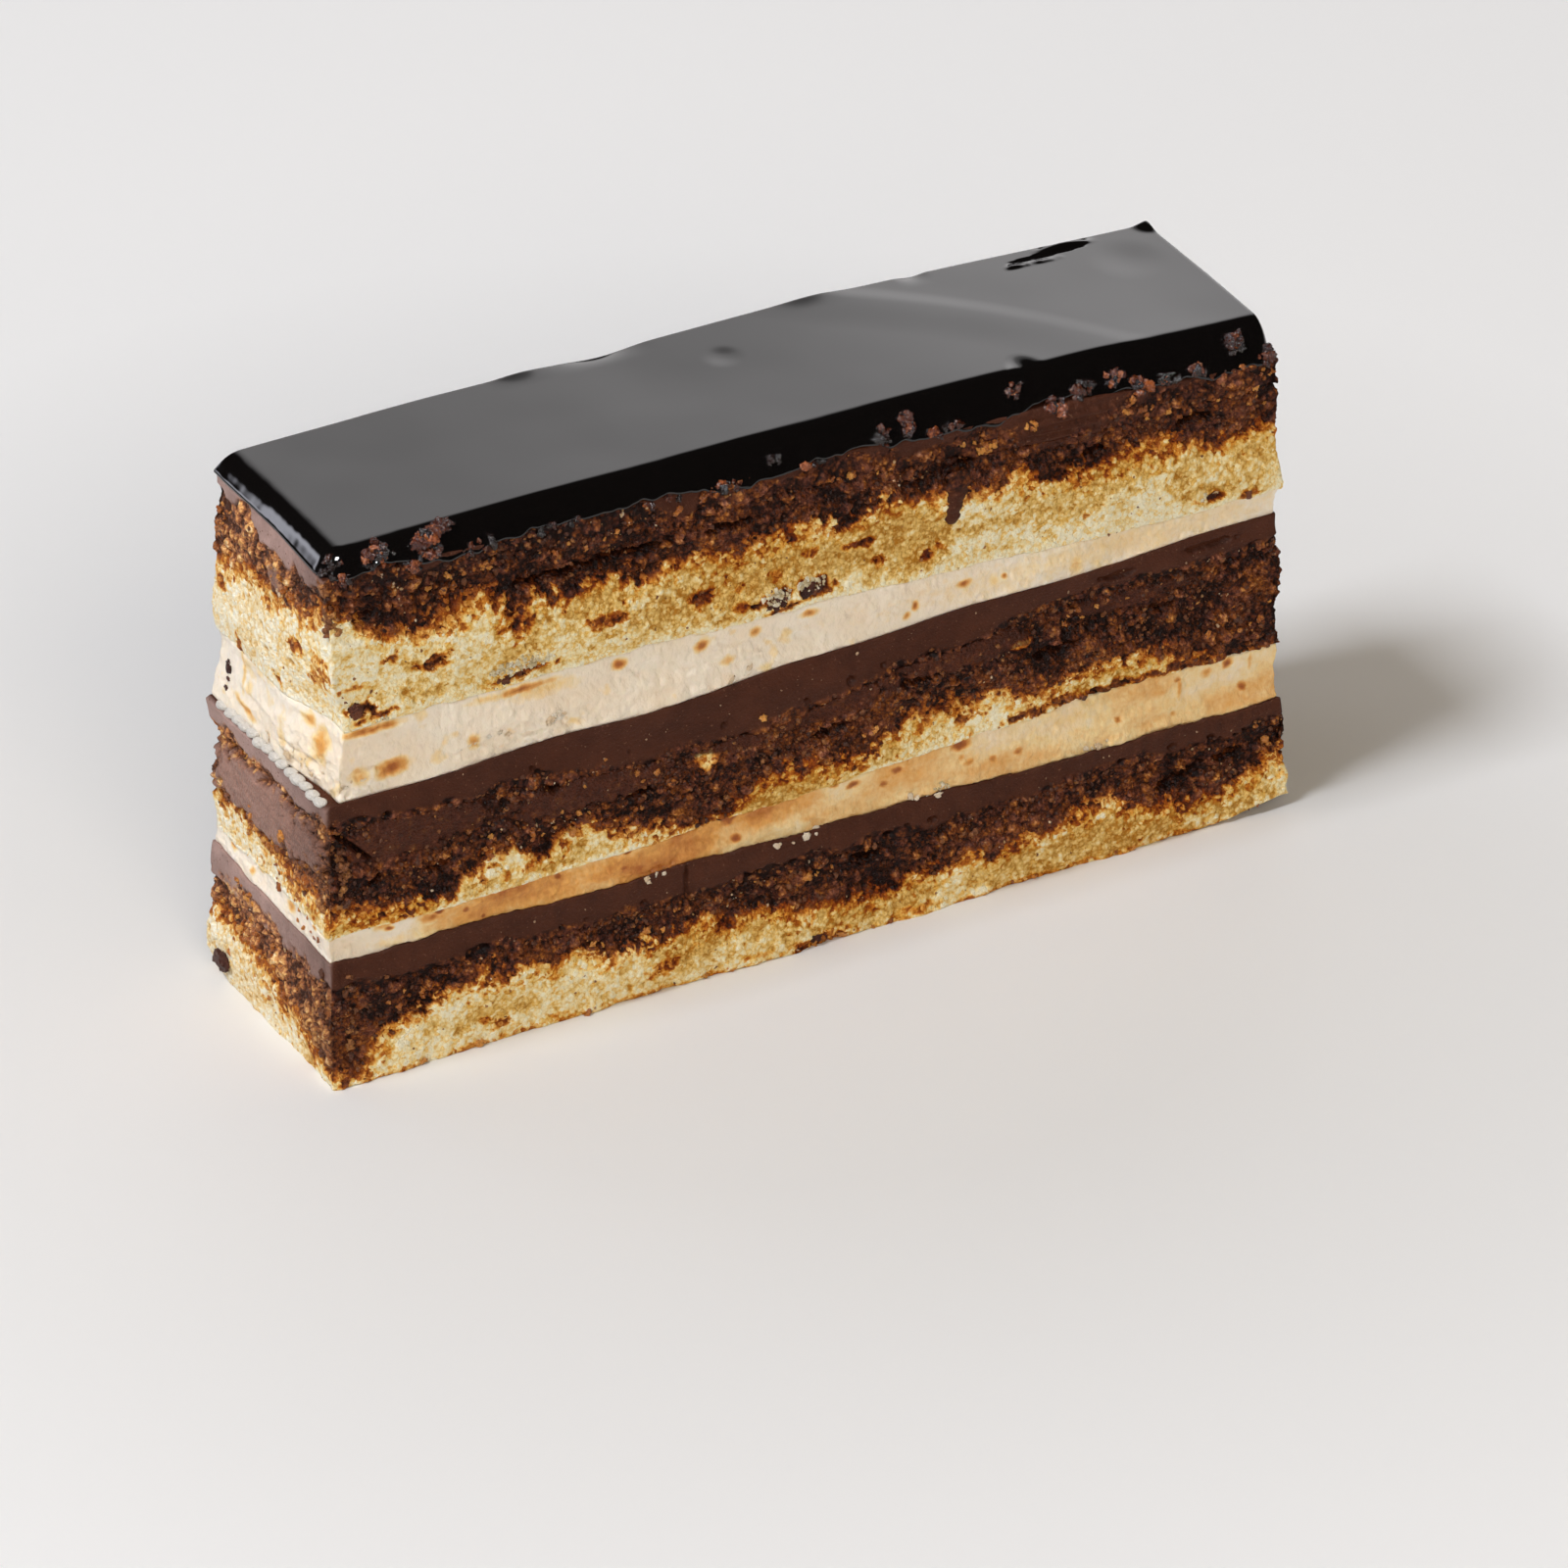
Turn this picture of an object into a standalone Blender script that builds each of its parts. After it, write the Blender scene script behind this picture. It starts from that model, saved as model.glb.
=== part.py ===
"""Opera cake slice: nine layers of sponge, cream and ganache under a poured chocolate glaze.

Every layer is a slab of its own. Its lower and upper faces follow the uneven boundaries between
the layers, and its four walls lean, step and belly the way a cut cake's do.
X runs along the slice, Y from the front cut to the back cut, Z up from the plate. The sizes
below are millimetres, measured from the slice's near left corner; the finished solids are in
metres, centred over the middle of the slice's bottom.
"""
import math
from functools import partial

import bmesh
import bpy
from mathutils import Matrix, Vector

# --- driving sizes, millimetres -------------------------------------------------------------
LENGTH = 115.0          # long side, at the top of the walls
WIDTH = 25.4            # short side, at the top of the walls
HEIGHT = 64.0           # plate to the middle of the glaze
FLARE = 1.8             # how far each wall leans out at the plate
GAP = 0.3               # clear gap between two layers
CORNER = 0.9            # how far an upright corner is worn back
CORNER_REACH = 4.0      # how far along the wall that wear starts
WALL_WAVE = 0.2         # unevenness of the cut walls
SEAM_WAVE = 0.18        # unevenness of the layers' boundaries

# --- boundaries between the layers ----------------------------------------------------------
# Heights above the plate at six even stations along the front cut, from left to right, then
# how much higher the boundary lies at the back left and at the back right.
SEAMS = {
    "glaze_foot": ((61.0, 60.4, 59.8, 59.0, 57.9, 56.3), 0.6, 0.8),
    "top_ganache_foot": ((58.3, 58.0, 57.0, 55.4, 53.6, 53.4), -1.6, 0.9),
    "top_sponge_foot": ((42.8, 42.8, 42.6, 42.0, 40.5, 40.2), -0.2, 0.4),
    "upper_cream_foot": ((34.3, 34.7, 35.3, 36.2, 36.9, 37.3), 0.0, -0.3),
    "middle_ganache_foot": ((31.2, 29.8, 28.2, 31.2, 33.2, 33.6), -0.4, -0.6),
    "middle_sponge_foot": ((18.3, 18.4, 18.8, 19.9, 20.8, 21.0), -0.4, -0.5),
    "lower_cream_foot": ((15.4, 15.1, 14.9, 14.4, 14.1, 14.0), 0.5, 0.3),
    "lower_ganache_foot": ((11.0, 10.8, 10.3, 10.3, 10.7, 11.0), 0.3, 0.2),
}

# --- layers, bottom to top ------------------------------------------------------------------
# lower and upper seam, how far the walls stand out at the left, right, front and back, how far
# they belly at mid height, and the colour (linear), roughness of the layer.
SPONGE = ((0.62, 0.43, 0.16, 1.0), 0.9)
CREAM = ((0.72, 0.58, 0.42, 1.0), 0.5)
GANACHE = ((0.045, 0.018, 0.012, 1.0), 0.45)
GLAZE = ((0.006, 0.004, 0.004, 1.0), 0.08)
LAYERS = {
    "bottom_sponge": (None, "lower_ganache_foot", (0.3, 0.9, 0.2, 0.7), 0.35, SPONGE),
    "lower_ganache": ("lower_ganache_foot", "lower_cream_foot", (0.4, -1.2, 0.2, -0.5), 0.0, GANACHE),
    "lower_cream": ("lower_cream_foot", "middle_sponge_foot", (0.0, 0.0, -0.1, -0.6), -0.1, CREAM),
    "middle_sponge": ("middle_sponge_foot", "middle_ganache_foot", (0.0, 0.5, 0.0, -0.4), 0.25, SPONGE),
    "middle_ganache": ("middle_ganache_foot", "upper_cream_foot", (1.3, 0.4, 0.2, 0.0), 0.0, GANACHE),
    "upper_cream": ("upper_cream_foot", "top_sponge_foot", (-0.1, -0.1, -0.2, -0.7), -0.15, CREAM),
    "top_sponge": ("top_sponge_foot", "top_ganache_foot", (0.1, 0.5, 0.0, 0.5), 0.3, SPONGE),
    "top_ganache": ("top_ganache_foot", "glaze_foot", (-0.1, 0.3, -0.2, -0.7), 0.1, GANACHE),
}
CELLS = (28, 5, 2)      # cells of a layer along, across and up
CURL_START = 108.0      # where the bottom sponge's right end starts to lift off the plate
CURL_RISE = 1.6         # and how far it lifts at the very end

# --- glaze ----------------------------------------------------------------------------------
GLAZE_FRONT = (63.5, 63.4, 63.2, 62.9, 62.2, 60.8)   # height at six stations, front
GLAZE_BACK = (63.4, 64.0, 63.4, 63.8, 62.2, 61.4)    # and along the back edge
GLAZE_CELLS = (40, 11, 3)
GLAZE_PROUD = (0.3, 0.2, 0.3, 0.6)                   # left, right, front, back
ROUND_DROP = 2.3        # how deep the rounded edge falls before the wall starts
ROUND_LEFT = 2.4        # reach of the rounded edge, left end
ROUND_RIGHT = 3.2
ROUND_FRONT = (1.8, 4.6)                             # front, at the left end and at the right
ROUND_BACK = 0.8
BACK_DROP = 0.5
LIP_AT = 36.0           # the back edge's upturned lip
LIP_HALF = 3.5
LIP_RISE = 0.9
NOTCH_AT = 45.5         # beside it, the place where the sheet has sunk
NOTCH_HALF = 6.0
NOTCH_FALL = 1.1
HUMP_AT = 71.5          # a second, softer rise, then the step down to the right
HUMP_HALF = 5.0
HUMP_RISE = 0.5
EDGE_REACH = 7.0        # how far in from the back edge these are felt
DIMPLE = (57.0, 18.5, 2.4, 0.35)                     # along, across, radius, depth
CREASE = ((75.0, 25.4), (97.0, 5.0), 3.0, 0.3)       # start, end, half width, rise
TEAR_TIP = (94.5, 24.2)                              # the torn slit: its sharp end
TEAR_MOUTH = (106.0, 22.4, 25.0)                     # its wide end: along, near, far
TEAR_DEPTH = 0.9


def along(values, x):
    """Height at x of a smooth line through evenly spaced stations."""
    place = min(max(x / LENGTH, 0.0), 1.0) * (len(values) - 1)
    first = min(int(place), len(values) - 2)
    t = place - first
    before = values[max(first - 1, 0)]
    after = values[min(first + 2, len(values) - 1)]
    start, end = values[first], values[first + 1]
    slope_in = (end - before) / 2
    slope_out = (after - start) / 2
    return ((2 * t**3 - 3 * t**2 + 1) * start + (t**3 - 2 * t**2 + t) * slope_in
            + (3 * t**2 - 2 * t**3) * end + (t**3 - t**2) * slope_out)


def swell(distance, half_width):
    """A smooth bump: 1 at its middle, 0 from half_width on."""
    if abs(distance) >= half_width:
        return 0.0
    return 0.5 + 0.5 * math.cos(math.pi * distance / half_width)


def seam_height(name, x, y):
    """Height of a boundary between two layers; the plate for None."""
    if name is None:
        return CURL_RISE * max(0.0, (x - CURL_START) / (LENGTH - CURL_START)) ** 2
    front, left_rise, right_rise = SEAMS[name]
    depth = min(max(y / WIDTH, 0.0), 1.0)
    rise = left_rise + (right_rise - left_rise) * x / LENGTH
    turn = list(SEAMS).index(name)
    wave = math.sin(x / 4.3 + 1.7 * turn) * math.cos(y / 6.1 + turn)
    return along(front, x) + rise * depth + SEAM_WAVE * wave


def wear(distance):
    """How far a wall is worn back at this distance from its upright corner."""
    near = max(0.0, 1.0 - distance / CORNER_REACH)
    return CORNER * near * near


def knife_wave(run, height, turn):
    """How far a cut wall wanders at this place along it and this height; turn tells walls apart."""
    slow = math.sin(0.11 * run + 0.6 * height + 2.1 * turn)
    quick = math.sin(0.29 * run - 0.43 * height + 1.3 * turn)
    return WALL_WAVE * (slow + 0.5 * quick)


def wall_place(u, v, height, proud, belly):
    """Plan position of the point at shares u along and v across, on walls that lean and wave."""
    lean = FLARE * (1 - height / HEIGHT)
    left, right, front, back = (side + belly + lean for side in proud)
    across, run = v * WIDTH, u * LENGTH
    edge_x = wear(min(v, 1 - v) * WIDTH)
    edge_y = wear(min(u, 1 - u) * LENGTH)
    x0 = -left + knife_wave(across, height, 0) + edge_x
    x1 = LENGTH + right + knife_wave(across, height, 1) - edge_x
    y0 = -front + knife_wave(run, height, 2) + edge_y
    y1 = WIDTH + back + knife_wave(run, height, 3) - edge_y
    return x0 + (x1 - x0) * u, y0 + (y1 - y0) * v


def layer_point(spec, u, v, w):
    """Place of the layer's point at shares u along, v across and w up."""
    lower, upper, proud, belly, _ = spec
    foot = seam_height(lower, u * LENGTH, v * WIDTH)
    head = seam_height(upper, u * LENGTH, v * WIDTH)
    x, y = wall_place(u, v, foot + (head - foot) * w, proud, belly * 4 * w * (1 - w))
    low = seam_height(lower, x, y) + (GAP / 2 if lower else 0.0)
    high = seam_height(upper, x, y) - GAP / 2
    return Vector((x, y, low + (high - low) * w))


def glaze_top(x, y):
    """Height of the glaze's face before its edges are rounded."""
    depth = min(max(y / WIDTH, 0.0), 1.0)
    height = along(GLAZE_FRONT, x) * (1 - depth) + along(GLAZE_BACK, x) * depth
    near_back = swell(WIDTH - min(y, WIDTH), EDGE_REACH)
    height += near_back * LIP_RISE * swell(x - LIP_AT, LIP_HALF)
    height -= near_back * NOTCH_FALL * swell(x - NOTCH_AT, NOTCH_HALF)
    height += near_back * HUMP_RISE * swell(x - HUMP_AT, HUMP_HALF)
    dimple_x, dimple_y, radius, deep = DIMPLE
    height -= deep * swell(math.hypot(x - dimple_x, y - dimple_y), radius)
    (x0, y0), (x1, y1), half_width, rise = CREASE
    run, climb = x1 - x0, y1 - y0
    size = math.hypot(run, climb)
    share = min(max(((x - x0) * run + (y - y0) * climb) / size**2, 0.0), 1.0)
    off = math.hypot(x - x0 - share * run, y - y0 - share * climb)
    return height + rise * (1 - share) * swell(off, half_width)


def edge_share(distance, reach):
    """1 on the very edge, 0 where its rounding ends."""
    return min(max(1.0 - distance / reach, 0.0), 1.0)


def glaze_point(u, v, w):
    """Place of the glaze's point at shares u along, v across and w up."""
    x, y = wall_place(u, v, HEIGHT, GLAZE_PROUD, 0.0)
    reach = ROUND_FRONT[0] + (ROUND_FRONT[1] - ROUND_FRONT[0]) * u
    ends = max(edge_share(u * LENGTH, ROUND_LEFT), edge_share((1 - u) * LENGTH, ROUND_RIGHT))
    front = edge_share(v * WIDTH, reach)
    back = edge_share((1 - v) * WIDTH, ROUND_BACK)
    bend = min(1.0, math.hypot(ends, front))
    drop = ROUND_DROP * (1 - math.sqrt(1 - bend * bend))
    drop = max(drop, BACK_DROP * (1 - math.sqrt(1 - back * back)))
    low = seam_height("glaze_foot", x, y) + GAP / 2
    high = glaze_top(x, y) - drop
    return Vector((x, y, low + (high - low) * w))


def even_cuts(cells):
    """Shares at which a side of that many even cells is cut."""
    return [step / cells for step in range(1, cells)]


def round_cuts(cells, size, first_reach, last_reach):
    """Cuts for a side with rounded edges: three close ones at either end, even ones between."""
    close = (0.12, 0.4, 0.7)
    first = [share * first_reach / size for share in close]
    last = [1 - share * last_reach / size for share in close]
    start, end = first_reach / size, 1 - last_reach / size
    inner = cells - 2 * len(close) - 1
    middle = [start + (end - start) * step / inner for step in range(inner + 1)]
    return first + middle + sorted(last)


def make_slab(name, cuts, place, finish, group):
    """A unit cube, cut along its three sides, whose points are then put in place."""
    mesh = bpy.data.meshes.new(name)
    work = bmesh.new()
    bmesh.ops.create_cube(work, size=1.0, matrix=Matrix.Translation((0.5, 0.5, 0.5)))
    for axis in range(3):
        normal = Vector((axis == 0, axis == 1, axis == 2))
        for share in cuts[axis]:
            everything = work.verts[:] + work.edges[:] + work.faces[:]
            bmesh.ops.bisect_plane(work, geom=everything, dist=1e-6, plane_co=normal * share, plane_no=normal)
    for vert in work.verts:
        vert.co = place(*vert.co)
    work.to_mesh(mesh)
    work.free()
    body = bpy.data.objects.new(name, mesh)
    body.data.materials.append(make_material(name, *finish))
    group.objects.link(body)
    return body


def make_material(name, colour, roughness):
    """A plain material of the layer's colour."""
    material = bpy.data.materials.new(name)
    material.use_nodes = True
    shader = material.node_tree.nodes["Principled BSDF"]
    shader.inputs["Base Color"].default_value = colour
    shader.inputs["Roughness"].default_value = roughness
    shader.inputs["Metallic"].default_value = 0.0
    material.diffuse_color = colour
    return material


def make_tear_cutter(cutters):
    """A wedge that opens the torn slit: a three-sided prism, its top above the glaze."""
    mesh = bpy.data.meshes.new("tear_cutter")
    work = bmesh.new()
    bmesh.ops.create_cone(work, cap_ends=True, segments=3, radius1=1.0, radius2=1.0, depth=1.0)
    mouth, near, far = TEAR_MOUTH
    corners = [(mouth, near), (mouth, far), TEAR_TIP]
    floor = glaze_top(*TEAR_TIP) - TEAR_DEPTH
    upright = sorted(work.verts, key=lambda vert: (vert.co.z, math.atan2(vert.co.y, vert.co.x)))
    for place, vert in enumerate(upright):
        x, y = corners[place % 3]
        lift = (mouth - x) / (mouth - TEAR_TIP[0]) * TEAR_DEPTH * 0.7
        vert.co = Vector((x, y, floor + lift if place < 3 else floor + 5.0))
    bmesh.ops.recalc_face_normals(work, faces=work.faces[:])
    work.to_mesh(mesh)
    work.free()
    cutter = bpy.data.objects.new("tear_cutter", mesh)
    cutter.hide_render = True
    cutter.display_type = "WIRE"
    cutters.objects.link(cutter)
    return cutter


def set_down(bodies, cutter):
    """Turn the millimetres into metres, with the origin under the middle of the bottom."""
    corners = [vert.co for body in bodies for vert in body.data.vertices]
    low = Vector([min(corner[axis] for corner in corners) for axis in range(3)])
    high = Vector([max(corner[axis] for corner in corners) for axis in range(3)])
    middle = Vector(((low.x + high.x) / 2, (low.y + high.y) / 2, low.z))
    move = Matrix.Scale(0.001, 4) @ Matrix.Translation(-middle)
    for body in bodies + [cutter]:
        body.data.transform(move)


def new_collection(name):
    """A collection linked to the scene."""
    group = bpy.data.collections.new(name)
    bpy.context.scene.collection.children.link(group)
    return group


def main():
    """Build the nine layers and set them down on the plate."""
    for old in list(bpy.data.objects):
        bpy.data.objects.remove(old, do_unlink=True)
    cake = new_collection("opera_cake")
    cutters = new_collection("cutters")
    bodies = []
    cuts = [even_cuts(cells) for cells in CELLS]
    for name, spec in LAYERS.items():
        bodies.append(make_slab(name, cuts, partial(layer_point, spec), spec[4], cake))
    glaze_cuts = [round_cuts(GLAZE_CELLS[0], LENGTH, ROUND_LEFT, ROUND_RIGHT),
                  round_cuts(GLAZE_CELLS[1], WIDTH, sum(ROUND_FRONT) / 2, ROUND_BACK),
                  even_cuts(GLAZE_CELLS[2])]
    glaze = make_slab("glaze", glaze_cuts, glaze_point, GLAZE, cake)
    bodies.append(glaze)
    cutter = make_tear_cutter(cutters)
    slit = glaze.modifiers.new("tear", "BOOLEAN")
    slit.operation = "DIFFERENCE"
    slit.object = cutter
    set_down(bodies, cutter)


main()
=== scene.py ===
"""Looks of an opera cake slice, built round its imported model.

Each layer of the slice is modelled again as a finely cut slab, with pores, crumb and smears on
its four cut walls, and stands for the plain solid of that layer. The glaze is one poured sheet.
Crumbs, flakes and drips are pieces of their own. Sizes are in millimetres, measured from the
slice's near left corner, unless a name says otherwise; finished meshes are in metres.
"""

import itertools
import logging
import math
from dataclasses import dataclass, field
from enum import Enum

import bmesh
import bpy
import numpy as np
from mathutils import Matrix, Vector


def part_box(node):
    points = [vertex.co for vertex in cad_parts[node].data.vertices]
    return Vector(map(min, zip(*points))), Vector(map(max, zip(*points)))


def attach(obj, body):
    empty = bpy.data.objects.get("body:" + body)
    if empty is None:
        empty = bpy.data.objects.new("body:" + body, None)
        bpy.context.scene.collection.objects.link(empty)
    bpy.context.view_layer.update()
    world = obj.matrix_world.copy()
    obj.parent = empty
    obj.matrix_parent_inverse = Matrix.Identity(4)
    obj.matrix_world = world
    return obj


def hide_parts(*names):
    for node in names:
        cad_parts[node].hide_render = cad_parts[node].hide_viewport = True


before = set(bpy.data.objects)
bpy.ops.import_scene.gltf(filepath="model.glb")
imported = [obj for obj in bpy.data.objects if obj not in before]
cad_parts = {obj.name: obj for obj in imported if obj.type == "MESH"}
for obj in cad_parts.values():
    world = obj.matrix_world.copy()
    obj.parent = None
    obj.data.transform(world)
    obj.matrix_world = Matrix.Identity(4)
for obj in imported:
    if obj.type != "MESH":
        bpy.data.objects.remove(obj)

logging.basicConfig(level=logging.INFO, format="%(message)s")
LOG = logging.getLogger("opera_cake")
MM = 0.001
Array = np.ndarray
Colour = tuple[float, float, float]


# --- numbers that look random but never change ------------------------------------------------
def lattice(cells: Array, seed: int) -> Array:
    """Steady random numbers for whole-number cells.

    Args:
        cells: whole numbers, shape (..., 3).
        seed: which set of numbers.

    Returns:
        Values from 0 to 1, one for each cell.
    """
    part = cells.astype(np.int64).astype(np.uint32)
    mixed = part[..., 0] * np.uint32(374761393) + part[..., 1] * np.uint32(668265263)
    mixed = mixed + part[..., 2] * np.uint32(2246822519) + np.uint32((seed * 3266489917) & 0xFFFFFFFF)
    mixed = (mixed ^ (mixed >> np.uint32(15))) * np.uint32(2246822519)
    mixed = (mixed ^ (mixed >> np.uint32(13))) * np.uint32(3266489917)
    return ((mixed ^ (mixed >> np.uint32(16))) / np.float64(2**32)).astype(np.float32)


def noise(points: Array, seed: int) -> Array:
    """Smooth noise.

    Args:
        points: places, shape (n, 3), one grain of noise to a unit.
        seed: which noise.

    Returns:
        Values from -1 to 1.
    """
    base = np.floor(points)
    part = (points - base).astype(np.float32)
    soft = part * part * (3 - 2 * part)
    total = np.zeros(len(points), np.float32)
    for corner in itertools.product((0, 1), repeat=3):
        weight = np.ones(len(points), np.float32)
        for axis in range(3):
            weight *= soft[:, axis] if corner[axis] else 1 - soft[:, axis]
        total += weight * lattice(base + np.array(corner), seed)
    return total * 2 - 1


def clouds(points: Array, size: float, seed: int, octaves: int = 4, gain: float = 0.5) -> Array:
    """Noise of several sizes added up.

    Args:
        points: places in millimetres, shape (n, 3).
        size: the largest grain, in millimetres.
        seed: which noise.
        octaves: how many sizes, each half the last.
        gain: strength of each against the last.

    Returns:
        Values of about -1 to 1.
    """
    total = np.zeros(len(points), np.float32)
    strength, whole = 1.0, 0.0
    for octave in range(octaves):
        total += strength * noise(points / size * 2.03**octave + 9.7 * octave, seed + 17 * octave)
        whole += strength
        strength *= gain
    return total / whole * 1.5


def cells(points: Array, size: float, seed: int) -> tuple[Array, Array, Array]:
    """Cells round scattered points, as crumb or bubbles pack.

    Args:
        points: places in millimetres, shape (n, 3).
        size: mean size of a cell, in millimetres.
        seed: which scatter.

    Returns:
        Distance to the nearest point and to the next, in cell sizes, and a number from 0 to 1
        that belongs to the nearest.
    """
    spot = (points / size).astype(np.float32)
    base = np.floor(spot)
    first = np.full(len(spot), 9.0, np.float32)
    second = first.copy()
    owner = np.zeros(len(spot), np.float32)
    for step in itertools.product((-1, 0, 1), repeat=3):
        cell = base + np.array(step, np.float32)
        away = np.zeros(len(spot), np.float32)
        for axis in range(3):
            away += (cell[:, axis] + lattice(cell, seed + axis) - spot[:, axis]) ** 2
        closer = away < first
        second = np.where(closer, first, np.minimum(second, away))
        owner = np.where(closer, lattice(cell, seed + 7), owner)
        first = np.where(closer, away, first)
    return np.sqrt(first), np.sqrt(second), owner


def smooth(value: Array, start: float, end: float) -> Array:
    """0 up to start, 1 from end on, with a soft rise between."""
    share = np.clip((value - start) / (end - start), 0.0, 1.0)
    return share * share * (3 - 2 * share)


def swell(distance: Array, half_width: float) -> Array:
    """A smooth bump: 1 at its middle, 0 from half_width on."""
    return 0.5 + 0.5 * np.cos(np.pi * np.clip(np.abs(distance) / half_width, 0, 1))


# --- the slice's shape ------------------------------------------------------------------------
class Side(Enum):
    """The four cut walls, by the way each faces."""

    LEFT = (-1.0, 0.0)
    RIGHT = (1.0, 0.0)
    FRONT = (0.0, -1.0)
    BACK = (0.0, 1.0)


@dataclass(frozen=True)
class Line:
    """A boundary that runs round the slice, given along the front cut and along the left cut.

    Attributes:
        front: (along, height) points, left to right.
        left: (depth, height) points, front to back.
    """

    front: tuple[tuple[float, float], ...]
    left: tuple[tuple[float, float], ...]


@dataclass(frozen=True)
class Shape:
    """Sizes that all the layers share, and where the slice stands."""

    length: float = 115.0
    width: float = 25.4
    height: float = 64.0
    flare: float = 1.8
    corner: float = 0.3
    wave: float = 0.2
    overhang: tuple[float, float] = (2.507, 2.48)     # the foot's reach past the near left corner
    spacing: tuple[float, float, float, float] = (0.18, 0.3, 0.32, 0.18)   # front, right, back, left

    def origin(self) -> Array:
        """Where the slice's near left corner stands in the row's frame, in metres."""
        low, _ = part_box("bottom_sponge")
        return np.array([low[0] + self.overhang[0] * MM, low[1] + self.overhang[1] * MM, low[2]])

    def along(self, values: tuple[float, ...], x: Array) -> Array:
        """Height at x of a smooth line through evenly spaced stations.

        Args:
            values: heights at the stations, left to right.
            x: places along the slice.

        Returns:
            Heights at x.
        """
        stations = np.array((values[0],) + values + (values[-1],))
        place = np.clip(x / self.length, 0, 1) * (len(values) - 1)
        first = np.minimum(place.astype(int), len(values) - 2)
        t = place - first
        before, start, end, after = (stations[first + step] for step in range(4))
        slope_in, slope_out = (end - before) / 2, (after - start) / 2
        return ((2 * t**3 - 3 * t**2 + 1) * start + (t**3 - 2 * t**2 + t) * slope_in
                + (3 * t**2 - 2 * t**3) * end + (t**3 - t**2) * slope_out)

    def outline(self) -> tuple[Array, Array]:
        """Places on the slice's outline, seen from above, closer together on the near sides.

        Returns:
            The places, shape (count, 2), counter-clockwise from the near left corner, and the
            directions that the wall faces there.
        """
        r = self.corner
        runs = [self.length - 2 * r, math.pi / 2 * r, self.width - 2 * r, math.pi / 2 * r] * 2
        steps = [step for side in self.spacing for step in (side, 0.18)]
        counts = [round(run / step) for run, step in zip(runs, steps)]
        part = np.repeat(np.arange(8), counts)
        share = np.concatenate([np.arange(count) / count for count in counts])
        corner_x = np.array([0, 1, 1, 1, 1, 0, 0, 0])[part]
        corner_y = np.array([0, 0, 0, 1, 1, 1, 1, 0])[part]
        start = np.array([-90, -90, 0, 0, 90, 90, 180, 180])[part]
        angle = np.radians(start + np.where(part % 2 == 1, 90 * share, 0))
        normal = np.stack([np.cos(angle), np.sin(angle)], 1)
        centre = np.stack([r + corner_x * (self.length - 2 * r), r + corner_y * (self.width - 2 * r)], 1)
        step = np.where(part % 2 == 0, share, 0)[:, None]
        straight = np.array([(1, 0), (0, 0), (0, 1), (0, 0), (-1, 0), (0, 0), (0, -1), (0, 0)])[part]
        return centre + r * normal + straight * step * np.array(runs)[part][:, None], normal

    def knife_wave(self, run: Array, height: Array, turn: float) -> Array:
        """How far a cut wall wanders at this place along it and this height."""
        slow = np.sin(0.11 * run + 0.6 * height + 2.1 * turn)
        return self.wave * (slow + 0.5 * np.sin(0.29 * run - 0.43 * height + 1.3 * turn))


SHAPE = Shape()


@dataclass(frozen=True)
class Seam:
    """The boundary between two layers.

    Attributes:
        front: heights at even stations along the front cut.
        rises: how much higher it lies at the back left and the back right.
        turn: sets its waves apart from the others'.
        ragged: how far it strays up and down.
        grain: size of that straying.
    """

    front: tuple[float, ...]
    rises: tuple[float, float]
    turn: int
    ragged: float = 0.0
    grain: float = 3.0

    def height(self, x: Array, y: Array) -> Array:
        """Height of the boundary at these places."""
        depth = np.clip(y / SHAPE.width, 0, 1)
        rise = self.rises[0] + (self.rises[1] - self.rises[0]) * x / SHAPE.length
        wave = 0.18 * np.sin(x / 4.3 + 1.7 * self.turn) * np.cos(y / 6.1 + self.turn)
        level = SHAPE.along(self.front, x) + rise * depth + wave
        if self.ragged:
            place = np.column_stack([x, y, np.zeros(len(x))])
            level = level + self.ragged * clouds(place, self.grain, 300 + self.turn, 5, 0.6)
        return level


PLATE = Seam((0.0,) * 6, (0.0, 0.0), 8)
GLAZE_FOOT = Seam((61.0, 60.4, 59.8, 59.0, 57.9, 56.3), (0.6, 0.8), 0)
TOP_GANACHE_FOOT = Seam((58.3, 58.0, 57.0, 55.4, 53.6, 53.4), (-1.6, 0.9), 1, 0.5, 4.0)
TOP_SPONGE_FOOT = Seam((42.8, 42.8, 42.6, 42.0, 40.5, 40.2), (-0.2, 0.4), 2, 0.3, 2.5)
UPPER_CREAM_FOOT = Seam((34.3, 34.7, 35.3, 36.2, 36.9, 37.3), (0.0, -0.3), 3, 0.09, 3.0)
MIDDLE_GANACHE_FOOT = Seam((31.2, 29.8, 28.2, 31.2, 33.2, 33.6), (-0.4, -0.6), 4, 0.5, 4.0)
MIDDLE_SPONGE_FOOT = Seam((18.3, 18.4, 18.8, 19.9, 20.8, 21.0), (-0.4, -0.5), 5, 0.35, 3.0)
LOWER_CREAM_FOOT = Seam((15.4, 15.1, 14.9, 14.4, 14.1, 14.0), (0.5, 0.3), 6, 0.35, 2.2)
LOWER_GANACHE_FOOT = Seam((11.0, 10.8, 10.3, 10.3, 10.7, 11.0), (0.3, 0.2), 7, 0.4, 4.0)


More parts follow.
